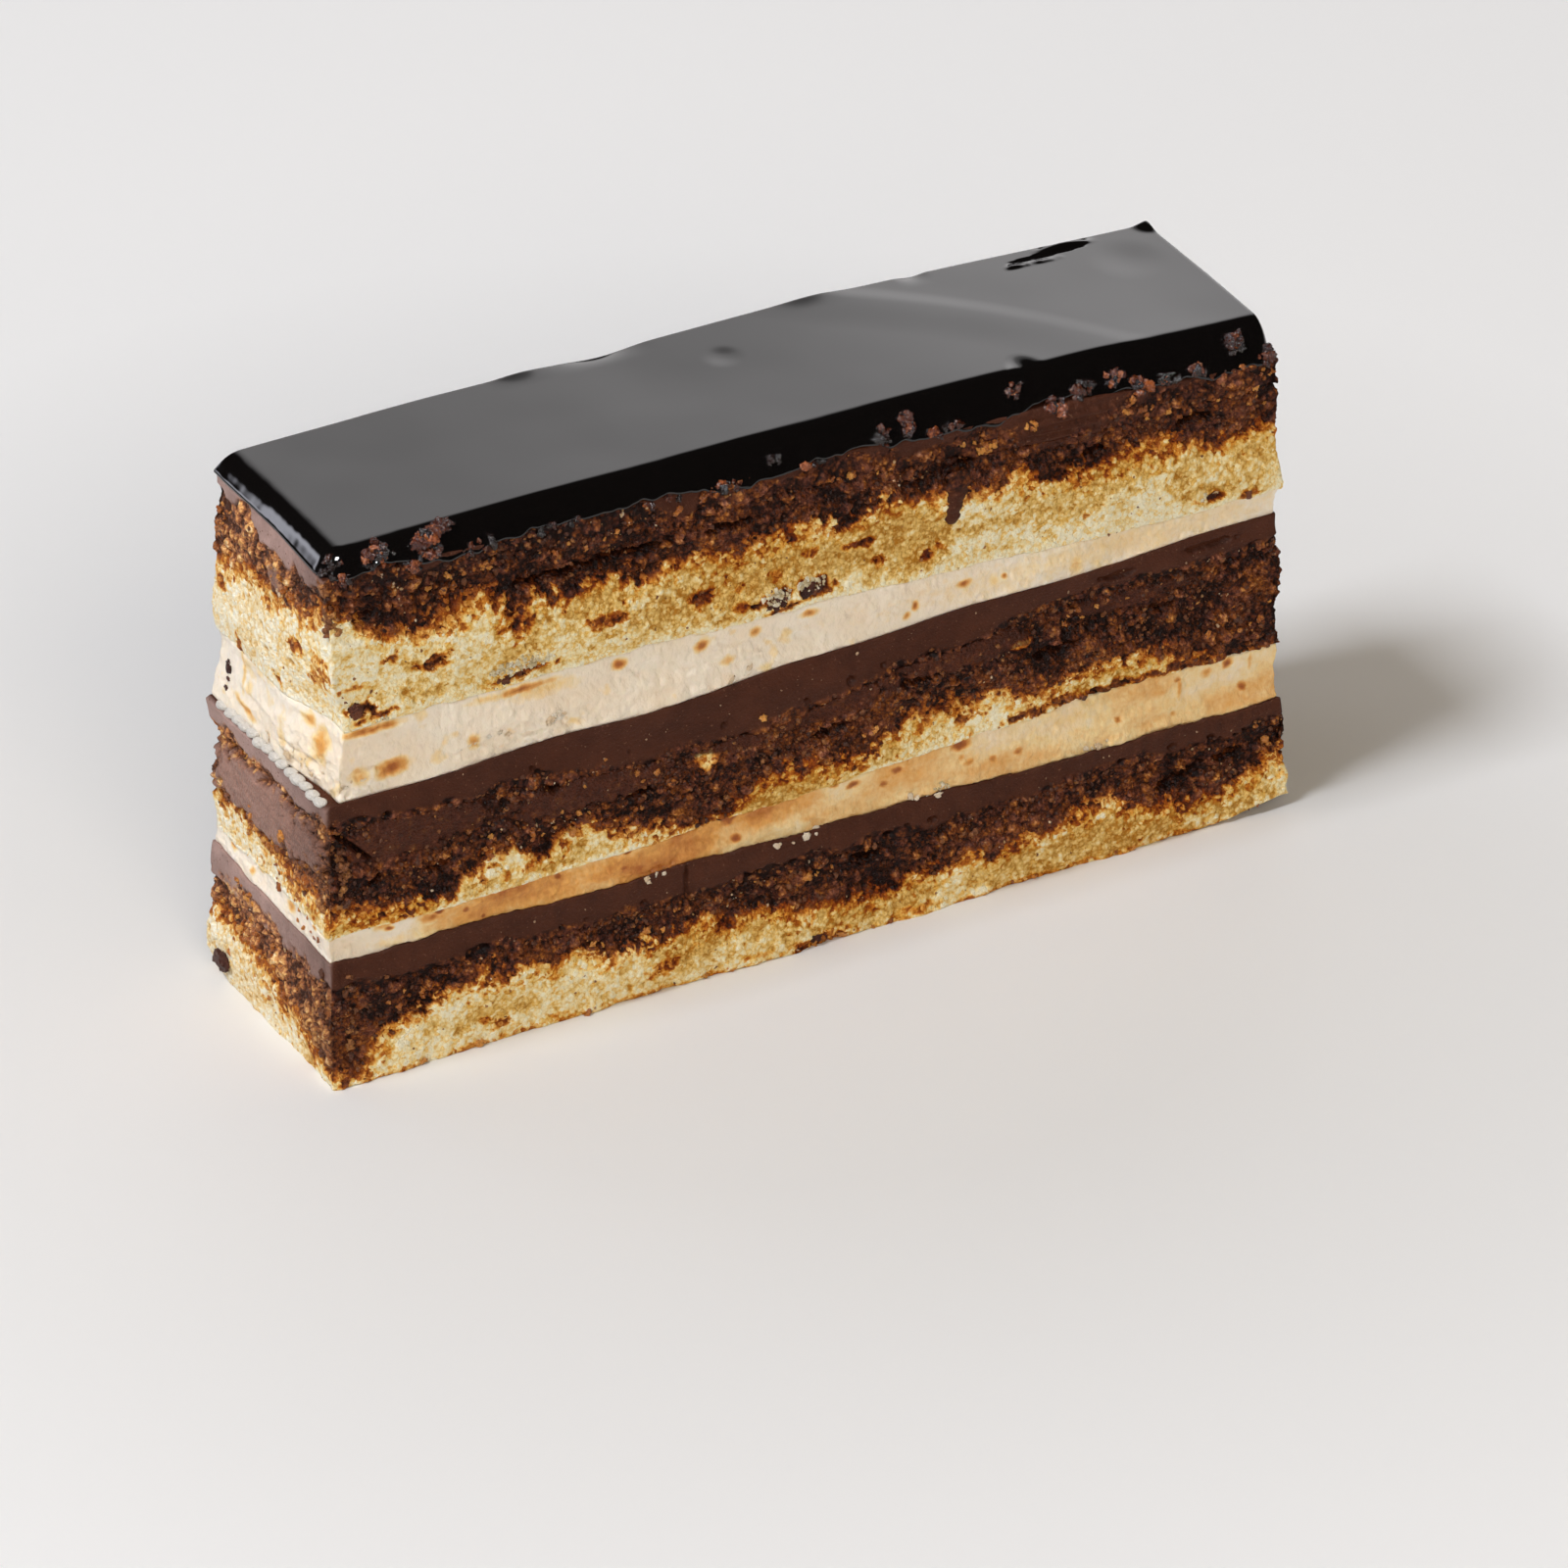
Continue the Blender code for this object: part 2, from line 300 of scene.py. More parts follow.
@dataclass
class Wall:
    """The points of a slab's wall, with what is known about each.

    Attributes:
        spot: places in millimetres, shape (n, 3).
        face: the way the wall faces, shape (n, 2).
        share: 0 at the layer's foot, 1 at its head.
        height: thickness of the layer there.
    """

    spot: Array
    face: Array
    share: Array
    height: Array

    def weight(self, side: Side) -> Array:
        """How much each point belongs to that wall."""
        return np.clip(self.face @ np.array(side.value), 0, 1) ** 2

    def line(self, line: Line) -> Array:
        """Height of a boundary line at each point.

        Args:
            line: the boundary, as it runs along the front and the left cut.

        Returns:
            Heights; the back repeats the front the other way round.
        """
        (run, rise), (deep, climb) = np.array(line.front).T, np.array(line.left).T
        x, y = self.spot[:, 0], self.spot[:, 1]
        front, left = np.interp(x, run, rise), np.interp(y, deep, climb)
        blend = smooth(x, 0.0, 14.0)
        back = climb[-1] * (1 - blend) + np.interp(SHAPE.length - x, run, rise) * blend
        right = rise[-1] + (rise[0] - rise[-1]) * np.clip(y / SHAPE.width, 0, 1)
        parts = ((Side.FRONT, front), (Side.LEFT, left), (Side.BACK, back), (Side.RIGHT, right))
        return sum(self.weight(side) * value for side, value in parts)

    def rim(self, reach: float) -> Array:
        """0 at the layer's upper and lower edge, 1 from this many millimetres away."""
        return smooth(np.minimum(self.share, 1 - self.share) * self.height, 0.0, reach)


def deselect() -> None:
    """Leave edit mode and select nothing."""
    if bpy.context.object and bpy.context.object.mode != "OBJECT":
        bpy.ops.object.mode_set(mode="OBJECT")
    bpy.ops.object.select_all(action="DESELECT")


def coordinates(piece: bpy.types.Object) -> Array:
    """The places of a mesh's points, shape (n, 3)."""
    places = np.empty(len(piece.data.vertices) * 3, np.float32)
    piece.data.vertices.foreach_get("co", places)
    return places.reshape(-1, 3).astype(np.float64)


def put(piece: bpy.types.Object, places: Array) -> None:
    """Move a mesh's points to these places, in millimetres from the slice's corner."""
    world = (places * MM + SHAPE.origin()).astype(np.float32)
    piece.data.vertices.foreach_set("co", world.ravel())
    piece.data.update()


def mark(piece: bpy.types.Object, name: str, values: Array) -> None:
    """Keep one number for each point, for the finish to read."""
    layer = piece.data.attributes.new(name, "FLOAT", "POINT")
    layer.data.foreach_set("value", values.astype(np.float32).ravel())


def smooth_faces(piece: bpy.types.Object) -> None:
    """Shade a mesh smooth."""
    piece.data.polygons.foreach_set("use_smooth", np.ones(len(piece.data.polygons), bool))


def hand_over(piece: bpy.types.Object, nodes: tuple[str, ...] = ()) -> None:
    """Fasten a finished piece to the cake.

    Args:
        piece: the piece, in place.
        nodes: the plain solids that it stands for.
    """
    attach(piece, "root")
    if nodes:
        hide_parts(*nodes)
    LOG.info("%s: %d faces", piece.name, len(piece.data.polygons))


# --- finishes ---------------------------------------------------------------------------------
Socket = bpy.types.NodeSocket
Stops = tuple[tuple[float, Colour], ...]


class Nodes:
    """A material's node tree, with short ways to add to it."""

    def __init__(self, name: str) -> None:
        """Start a material with a Principled shader."""
        self.material = bpy.data.materials.new(name)
        self.material.use_nodes = True
        self.tree = self.material.node_tree
        self.shader = self.tree.nodes["Principled BSDF"]

    def link(self, source: Socket, target: Socket) -> None:
        """Join two sockets."""
        self.tree.links.new(source, target)

    def attribute(self, name: str) -> Socket:
        """A number kept on the piece's points."""
        node = self.tree.nodes.new("ShaderNodeAttribute")
        node.attribute_name = name
        return node.outputs["Fac"]

    def grain(self, size: float, detail: float = 3.0, rough: float = 0.5,
              stretch: tuple[float, float, float] = (1.0, 1.0, 1.0)) -> Socket:
        """Noise with grains of this many millimetres, on the piece's own coordinates."""
        place = self.tree.nodes.new("ShaderNodeTexCoord")
        turn = self.tree.nodes.new("ShaderNodeMapping")
        turn.inputs["Scale"].default_value = tuple(1.0 / (size * MM * part) for part in stretch)
        node = self.tree.nodes.new("ShaderNodeTexNoise")
        node.inputs["Scale"].default_value = 1.0
        node.inputs["Detail"].default_value = detail
        node.inputs["Roughness"].default_value = rough
        self.link(place.outputs["Object"], turn.inputs["Vector"])
        self.link(turn.outputs["Vector"], node.inputs["Vector"])
        return node.outputs["Fac"]

    def pebbles(self, size: float) -> tuple[Socket, Socket]:
        """Packed, uneven grains of this many millimetres: a number for each, and the way from its middle."""
        place = self.tree.nodes.new("ShaderNodeTexCoord")
        stray = self.tree.nodes.new("ShaderNodeTexNoise")
        stray.inputs["Scale"].default_value = 1.1 / (size * MM)
        shift = self.tree.nodes.new("ShaderNodeVectorMath")
        shift.operation = "MULTIPLY_ADD"
        shift.inputs[1].default_value = (1.1 * size * MM,) * 3
        node = self.tree.nodes.new("ShaderNodeTexVoronoi")
        node.inputs["Scale"].default_value = 1.0 / (size * MM)
        self.link(place.outputs["Object"], stray.inputs["Vector"])
        self.link(stray.outputs["Color"], shift.inputs[0])
        self.link(place.outputs["Object"], shift.inputs[2])
        self.link(shift.outputs["Vector"], node.inputs["Vector"])
        part = self.tree.nodes.new("ShaderNodeSeparateColor")
        self.link(node.outputs["Color"], part.inputs["Color"])
        return part.outputs["Red"], node.outputs["Distance"]

    def reach(self, near: float, far: float) -> Socket:
        """0 up to near metres from the piece's middle, 1 from far metres on."""
        place = self.tree.nodes.new("ShaderNodeTexCoord")
        away = self.tree.nodes.new("ShaderNodeVectorMath")
        away.operation = "LENGTH"
        share = self.tree.nodes.new("ShaderNodeMapRange")
        share.inputs["From Min"].default_value = near
        share.inputs["From Max"].default_value = far
        self.link(place.outputs["Object"], away.inputs[0])
        self.link(away.outputs["Value"], share.inputs["Value"])
        return share.outputs["Result"]

    def add(self, first: Socket, second: Socket, strength: float, centre: float = 0.5) -> Socket:
        """first plus strength times (second minus centre)."""
        scaled = self.tree.nodes.new("ShaderNodeMath")
        scaled.operation = "MULTIPLY_ADD"
        scaled.inputs[1].default_value = strength
        self.link(second, scaled.inputs[0])
        self.link(first, scaled.inputs[2])
        shifted = self.tree.nodes.new("ShaderNodeMath")
        shifted.operation = "SUBTRACT"
        shifted.inputs[1].default_value = strength * centre
        self.link(scaled.outputs[0], shifted.inputs[0])
        return shifted.outputs[0]

    def ramp(self, value: Socket, stops: Stops) -> Socket:
        """Colours along a value, from (place, colour) stops."""
        node = self.tree.nodes.new("ShaderNodeValToRGB")
        band = node.color_ramp
        while len(band.elements) < len(stops):
            band.elements.new(1.0)
        for element, (place, colour) in zip(band.elements, stops):
            element.position = place
            element.color = (*colour, 1.0)
        self.link(value, node.inputs["Fac"])
        return node.outputs["Color"]

    def step(self, value: Socket, start: float, end: float) -> Socket:
        """0 up to start, 1 from end on."""
        return self.ramp(value, ((start, (0.0, 0.0, 0.0)), (end, (1.0, 1.0, 1.0))))

    def mix(self, share: Socket | float, first: Socket, second: Socket, kind: str = "MIX") -> Socket:
        """first where share is 0, second (or their product) where it is 1."""
        node = self.tree.nodes.new("ShaderNodeMix")
        node.data_type = "RGBA"
        node.blend_type = kind
        if isinstance(share, float):
            node.inputs["Factor"].default_value = share
        else:
            self.link(share, node.inputs["Factor"])
        self.link(first, node.inputs[6])
        self.link(second, node.inputs[7])
        return node.outputs[2]

    def range(self, value: Socket, low: float, high: float) -> Socket:
        """A value from 0 to 1 stretched to low..high."""
        node = self.tree.nodes.new("ShaderNodeMapRange")
        node.inputs["To Min"].default_value = low
        node.inputs["To Max"].default_value = high
        self.link(value, node.inputs["Value"])
        return node.outputs["Result"]

    def bump(self, height: Socket, strength: float, depth: float) -> None:
        """Fine relief, depth millimetres deep."""
        node = self.tree.nodes.new("ShaderNodeBump")
        node.inputs["Strength"].default_value = strength
        node.inputs["Distance"].default_value = depth * MM
        self.link(height, node.inputs["Height"])
        self.link(node.outputs["Normal"], self.shader.inputs["Normal"])

    def set(self, **values: float | tuple) -> None:
        """Set the shader's own sockets; an underscore stands for a space."""
        for name, value in values.items():
            self.shader.inputs[name.replace("_", " ")].default_value = value

    def crumb(self, grain: Socket, painted_sheen: Socket) -> Socket:
        """Colour of soaked crumb: brown and orange grains with painted shade in the gaps between them, paler and more
        orange on the left cut as painted sheen.
        """
        fine = self.grain(0.3, 3.0, 0.6)
        tone, way = self.pebbles(0.5)
        value = self.add(self.add(grain, fine, 0.8), tone, 0.4)
        # painted shade: each grain darkens from its middle towards its rim
        value = self.add(self.add(value, way, -0.5, 0.4), self.grain(1.4, 3.0), 0.4)
        hue = self.step(self.grain(1.6, 3.0, 0.6), 0.44, 0.6)
        soaked = self.mix(hue, self.ramp(value, CRUMB), self.ramp(value, MAUVE_CRUMB))
        # painted sheen: paler, more orange crumb on the left cut
        return self.mix(painted_sheen, soaked, self.ramp(value, PAINTED_SHEEN_CRUMB))


SOAKING: Stops = ((0.08, (1.0, 1.0, 1.0)), (0.24, (0.98, 0.84, 0.52)), (0.40, (0.84, 0.48, 0.15)),
                  (0.56, (0.50, 0.18, 0.04)), (0.72, (0.27, 0.075, 0.022)), (0.9, (0.14, 0.040, 0.016)))
CRUMB: Stops = ((0.0, (0.012, 0.004, 0.002)), (0.25, (0.062, 0.016, 0.005)), (0.5, (0.160, 0.043, 0.009)),
                (0.75, (0.36, 0.120, 0.022)), (1.0, (0.66, 0.31, 0.08)))
MAUVE_CRUMB: Stops = ((0.0, (0.012, 0.004, 0.003)), (0.25, (0.056, 0.016, 0.010)), (0.5, (0.132, 0.040, 0.022)),
                      (0.75, (0.26, 0.086, 0.042)), (1.0, (0.48, 0.21, 0.11)))
# Soaked crumb painted paler and more orange, as painted sheen from the side light on the left cut.
PAINTED_SHEEN_CRUMB: Stops = ((0.0, (0.070, 0.026, 0.014)), (0.25, (0.30, 0.112, 0.052)), (0.5, (0.60, 0.255, 0.088)),
                        (0.75, (0.91, 0.52, 0.18)), (1.0, (1.0, 0.80, 0.48)))


@dataclass(frozen=True)
class SpongeFinish:
    """Sponge that goes from pale crumb through amber to soaked dark brown, with painted shade at its grains' rims and
    painted light on the left cut.
    """

    pale: Stops = ((0.0, (1.0, 0.93, 0.70)), (0.3, (0.96, 0.80, 0.44)), (0.6, (0.84, 0.56, 0.17)),
                   (1.0, (0.48, 0.22, 0.03)))
    # painted light: a paler copy of the pale stops, for the left cut
    lit: Stops = ((0.0, (1.0, 0.96, 0.84)), (0.6, (0.92, 0.72, 0.42)), (1.0, (0.60, 0.32, 0.10)))
    chocolate: Colour = (0.092, 0.0275, 0.0145)
    # painted sheen: the smear's paler mauve on the left cut
    painted_sheen_colour: Colour = (0.42, 0.235, 0.180)

    def build(self) -> bpy.types.Material:
        """Make the material."""
        n = Nodes("sponge_crumb")
        fine, middle, painted_sheen = n.grain(0.32, 2.0), n.grain(1.5, 4.0, 0.6), n.attribute("painted_sheen")
        soak = n.attribute("soak")
        tone, way = n.pebbles(0.55)
        pale = n.add(n.add(n.add(n.attribute("pore"), fine, 0.5), middle, 0.8), tone, 0.42)
        # painted shade: each grain darkens towards its rim
        pale = n.add(pale, way, 0.55, 0.4)
        # painted light: the pale crumb turns to its paler copy on the left cut
        pale = n.mix(n.range(painted_sheen, 0.0, 0.6), n.ramp(pale, self.pale), n.ramp(pale, self.lit))
        wet = n.add(n.add(n.add(soak, fine, 0.3), n.grain(0.9, 3.0), 0.3), tone, 0.36)
        tinted = n.mix(1.0, pale, n.ramp(wet, SOAKING), "MULTIPLY")
        share = n.step(wet, 0.66, 0.92)
        crumb = n.mix(share, tinted, n.crumb(n.attribute("grain"), painted_sheen))
        drawn = n.grain(0.7, 4.0, 0.6, (1.0, 3.0, 1.0))
        # painted sheen: the smear turns paler mauve on the left cut
        smear = n.mix(painted_sheen, n.ramp(drawn, ((0.3, tuple(c * 0.6 for c in self.chocolate)), (0.7, self.chocolate))),
                      n.ramp(drawn, ((0.3, tuple(c * 0.6 for c in self.painted_sheen_colour)), (0.7, self.painted_sheen_colour))))
        n.link(n.mix(n.attribute("smear"), crumb, smear), n.shader.inputs["Base Color"])
        n.link(n.range(soak, 0.85, 0.38), n.shader.inputs["Roughness"])
        n.bump(n.add(fine, way, -0.5), 1.0, 0.3)
        n.set(Specular_IOR_Level=0.1)
        return n.material


@dataclass(frozen=True)
class CreamFinish:
    """Ivory cream, smooth and a little translucent, with coffee stains."""

    ivory: Colour = (0.965, 0.86, 0.725)
    shade: Colour = (0.935, 0.785, 0.605)

    def build(self) -> bpy.types.Material:
        """Make the material."""
        n = Nodes("cream")
        clean = n.ramp(n.grain(6.0), ((0.35, self.ivory), (0.7, self.shade)))
        stain = n.ramp(n.add(n.add(n.attribute("stain"), n.grain(0.5), 0.16), n.grain(1.4, 2.0), 0.16), SOAKING)
        n.link(n.mix(1.0, clean, stain, "MULTIPLY"), n.shader.inputs["Base Color"])
        n.bump(n.grain(0.9, 3.0, 0.5, (0.8, 0.8, 1.3)), 0.8, 0.35)
        n.set(Roughness=0.5, Specular_IOR_Level=0.3, Subsurface_Weight=0.2,
              Subsurface_Radius=(1.0, 0.75, 0.5), Subsurface_Scale=1.0 * MM)
        return n.material


@dataclass(frozen=True)
class GanacheFinish:
    """Dense dark chocolate with fine specks, painted paler mauve on the left cut as painted sheen from the side light.
    """

    dark: Colour = (0.056, 0.0162, 0.0075)
    light: Colour = (0.086, 0.0258, 0.0120)
    speck: Colour = (0.26, 0.13, 0.08)
    # painted sheen: the paler mauve that the left cut is painted
    painted_sheen_colour: Colour = (0.47, 0.305, 0.262)

    def build(self) -> bpy.types.Material:
        """Make the material."""
        n = Nodes("ganache")
        fine, painted_sheen, broad = n.grain(0.25), n.attribute("painted_sheen"), n.grain(3.0, 5.0, 0.6)
        # painted sheen: the body turns paler mauve on the left cut
        body = n.mix(painted_sheen, n.ramp(broad, ((0.3, self.dark), (0.7, self.light))),
                     n.ramp(broad, ((0.3, tuple(c * 0.65 for c in self.painted_sheen_colour)), (0.7, self.painted_sheen_colour))))
        specks = n.step(n.grain(0.3, 1.0), 0.68, 0.76)
        speckled = n.mix(specks, body, n.ramp(fine, ((0.3, self.light), (0.8, self.speck))))
        crumb = n.crumb(n.attribute("grain"), painted_sheen)
        n.link(n.mix(n.attribute("crumbed"), speckled, crumb), n.shader.inputs["Base Color"])
        n.bump(n.grain(0.35, 3.0, 0.6), 0.9, 0.2)
        n.set(Roughness=0.5, Specular_IOR_Level=0.12)
        return n.material


@dataclass(frozen=True)
class GlazeFinish:
    """Mirror-gloss chocolate glaze."""

    black: Colour = (0.0030, 0.0022, 0.0020)

    def build(self) -> bpy.types.Material:
        """Make the material."""
        n = Nodes("glaze")
        n.bump(n.grain(8.0, 0.0), 0.1, 0.3)
        n.set(Base_Color=(*self.black, 1.0), Roughness=0.06, IOR=1.55)
        return n.material


@dataclass(frozen=True)
class LooseFinish:
    """Loose bits, each of its own tone, through the stops."""

    name: str
    stops: Stops
    roughness: float = 0.6
    gloss: float = 0.2
    grit: float = 1.0

    def build(self) -> bpy.types.Material:
        """Make the material."""
        n = Nodes(self.name)
        fine = n.grain(0.3)
        n.link(n.ramp(n.add(n.attribute("tone"), fine, 0.8 * self.grit), self.stops), n.shader.inputs["Base Color"])
        n.bump(n.grain(0.22, 3.0, 0.6), self.grit, 0.3)
        n.set(Roughness=self.roughness, Specular_IOR_Level=self.gloss)
        return n.material


@dataclass(frozen=True)
class FloorFinish:
    """Pale studio floor, painted a little paler away from the cake as painted light, to even out the lamps' falloff.
    """

    near: Colour = (0.790, 0.788, 0.782)
    far: Colour = (0.94, 0.943, 0.945)

    def build(self) -> bpy.types.Material:
        """Make the material."""
        n = Nodes("floor")
        # painted light: paler away from the cake, evening out the lamps' falloff
        n.link(n.ramp(n.reach(0.06, 0.15), ((0.0, self.near), (1.0, self.far))), n.shader.inputs["Base Color"])
        n.set(Roughness=0.6, Specular_IOR_Level=0.3)
        return n.material


# --- layers -----------------------------------------------------------------------------------
@dataclass(frozen=True)
class Blot:
    """A stain or a dent on a cut wall: its middle, its half sizes and its strength."""

    side: Side
    run: float
    height: float
    wide: float
    tall: float
    strength: float = 1.0
    slope: float = 0.0


def blots(wall: Wall, marks: tuple[Blot, ...], ragged: float, seed: int, soft: float = 0.5) -> Array:
    """How much each wall point lies in a stain.

    Args:
        wall: the wall's points.
        marks: the stains.
        ragged: how uneven their edges are.
        seed: sets one use apart from another.
        soft: how softly they fade, as a share of their size.

    Returns:
        From 0, clean, to the stain's strength.
    """
    total = np.zeros(len(wall.spot))
    if not marks:
        return total
    rough = (0.6 * clouds(wall.spot, 1.9, seed, 2) + 0.6 * clouds(wall.spot, 0.7, seed + 3, 2)) * ragged
    for blot in marks:
        run = wall.spot[:, 0] if blot.side in (Side.FRONT, Side.BACK) else wall.spot[:, 1]
        off = run - blot.run
        rise = wall.spot[:, 2] - blot.height - blot.slope * off
        away = np.hypot(off / blot.wide, rise / blot.tall)
        inside = smooth(1.0 + soft / 2 - away + rough, 0.0, soft) * (wall.weight(blot.side) > 0.5)
        total = np.maximum(total, blot.strength * inside)
    return total


def front(*marks: tuple[float, ...]) -> tuple[Blot, ...]:
    """Marks on the front cut, each (along, height, half width, half height, strength, slope)."""
    return tuple(Blot(Side.FRONT, *mark_) for mark_ in marks)


def left(*marks: tuple[float, ...]) -> tuple[Blot, ...]:
    """Marks on the left cut, each (depth, height, half width, half height, strength, slope)."""
    return tuple(Blot(Side.LEFT, *mark_) for mark_ in marks)


def strewn(low: float, high: float, count: int, size: tuple[float, float], seed: int,
           sides: tuple[Side, Side] = (Side.BACK, Side.RIGHT)) -> tuple[Blot, ...]:
    """Marks strewn over a long and a short cut.

    Args:
        low: the lowest height.
        high: the highest height.
        count: how many.
        size: smallest and largest half width.
        seed: sets them apart.
        sides: the long and the short side.

    Returns:
        The marks.
    """
    rng = np.random.default_rng(seed)
    made = []
    for _ in range(count):
        side = sides[0] if rng.random() < 0.82 else sides[1]
        reach = SHAPE.length if side in (Side.BACK, Side.FRONT) else SHAPE.width
        wide = rng.uniform(*size)
        made.append(Blot(side, rng.uniform(1, reach - 1), rng.uniform(low, high), wide,
                         wide * rng.uniform(0.5, 1.0), rng.uniform(0.5, 1.0)))
    return tuple(made)


def grid_drum(name: str, around: int, rows: int, rings: int) -> bpy.types.Object:
    """A cylinder with a finely cut wall and ringed ends.

    Args:
        name: the new object's name.
        around: points round the wall.
        rows: rows of faces up the wall.
        rings: rings on each end; ring k from the wall has radius 1 - k / (rings + 1).

    Returns:
        The object.
    """
    deselect()
    bpy.ops.mesh.primitive_cylinder_add(vertices=around, radius=1, depth=1, location=(0, 0, 0))
    piece = bpy.context.object
    piece.name = piece.data.name = name
    bpy.ops.object.mode_set(mode="EDIT")
    bpy.ops.mesh.select_mode(type="EDGE")
    bpy.ops.mesh.select_all(action="DESELECT")
    work = bmesh.from_edit_mesh(piece.data)
    for edge in work.edges:
        edge.select_set(abs(edge.verts[0].co.z - edge.verts[1].co.z) > 0.5)
    bmesh.update_edit_mesh(piece.data)
    bpy.ops.mesh.subdivide(number_cuts=rows - 1)
    bpy.ops.mesh.select_mode(type="FACE")
    work = bmesh.from_edit_mesh(piece.data)
    for face in work.faces:
        face.select_set(len(face.verts) > 4)
    bmesh.update_edit_mesh(piece.data)
    for ring in range(rings):
        scale = (rings - ring) / (rings + 1 - ring)
        bpy.ops.mesh.extrude_region_move()
        bpy.ops.transform.resize(value=(scale, scale, 1), center_override=(0, 0, 0))
    bpy.ops.mesh.quads_convert_to_tris(quad_method="BEAUTY", ngon_method="BEAUTY")
    bpy.ops.object.mode_set(mode="OBJECT")
    return piece



def crumb_wall(spot: Array) -> tuple[Array, Array]:
    """Torn, soaked crumb, the same on both sides of a seam.

    Args:
        spot: places in millimetres.

    Returns:
        How far it stands out, in millimetres, and how pale its grains are: their own tone, with painted shade in the
        valleys between lumps and lump tops painted a little paler as painted light.
    """
    stray = np.column_stack([clouds(spot, 1.3, 36 + axis, 3, 0.6) for axis in range(3)])
    warped = spot + 0.45 * stray
    lump, next_lump, tone = cells(warped, 1.5, 40)
    dome = (1 - np.clip(lump / 0.9, 0, 1) ** 2) * smooth(next_lump - lump, 0.0, 0.4)
    speck, next_speck, fine_tone = cells(warped, 0.55, 45)
    bead = (1 - np.clip(speck / 0.85, 0, 1) ** 2) * smooth(next_speck - speck, 0.0, 0.35)
    patches, broad = clouds(spot, 3.0, 50, 4, 0.6), clouds(spot, 8.0, 55, 2)
    relief = 0.55 * dome * (0.25 + tone) + 0.15 * bead * (0.3 + fine_tone) + 0.36 * patches + 0.25 * broad - 0.4
    # painted shade: the valleys between lumps darken the grain tone below, and lump tops come out a little paler as
    # painted light
    painted_valley_shade = smooth(-relief, 0.05, 0.5)
    grain = 0.42 + 0.5 * (tone - 0.35) * dome + 0.14 * (fine_tone - 0.4) + 0.18 * patches - 0.32 * painted_valley_shade
    return relief, grain


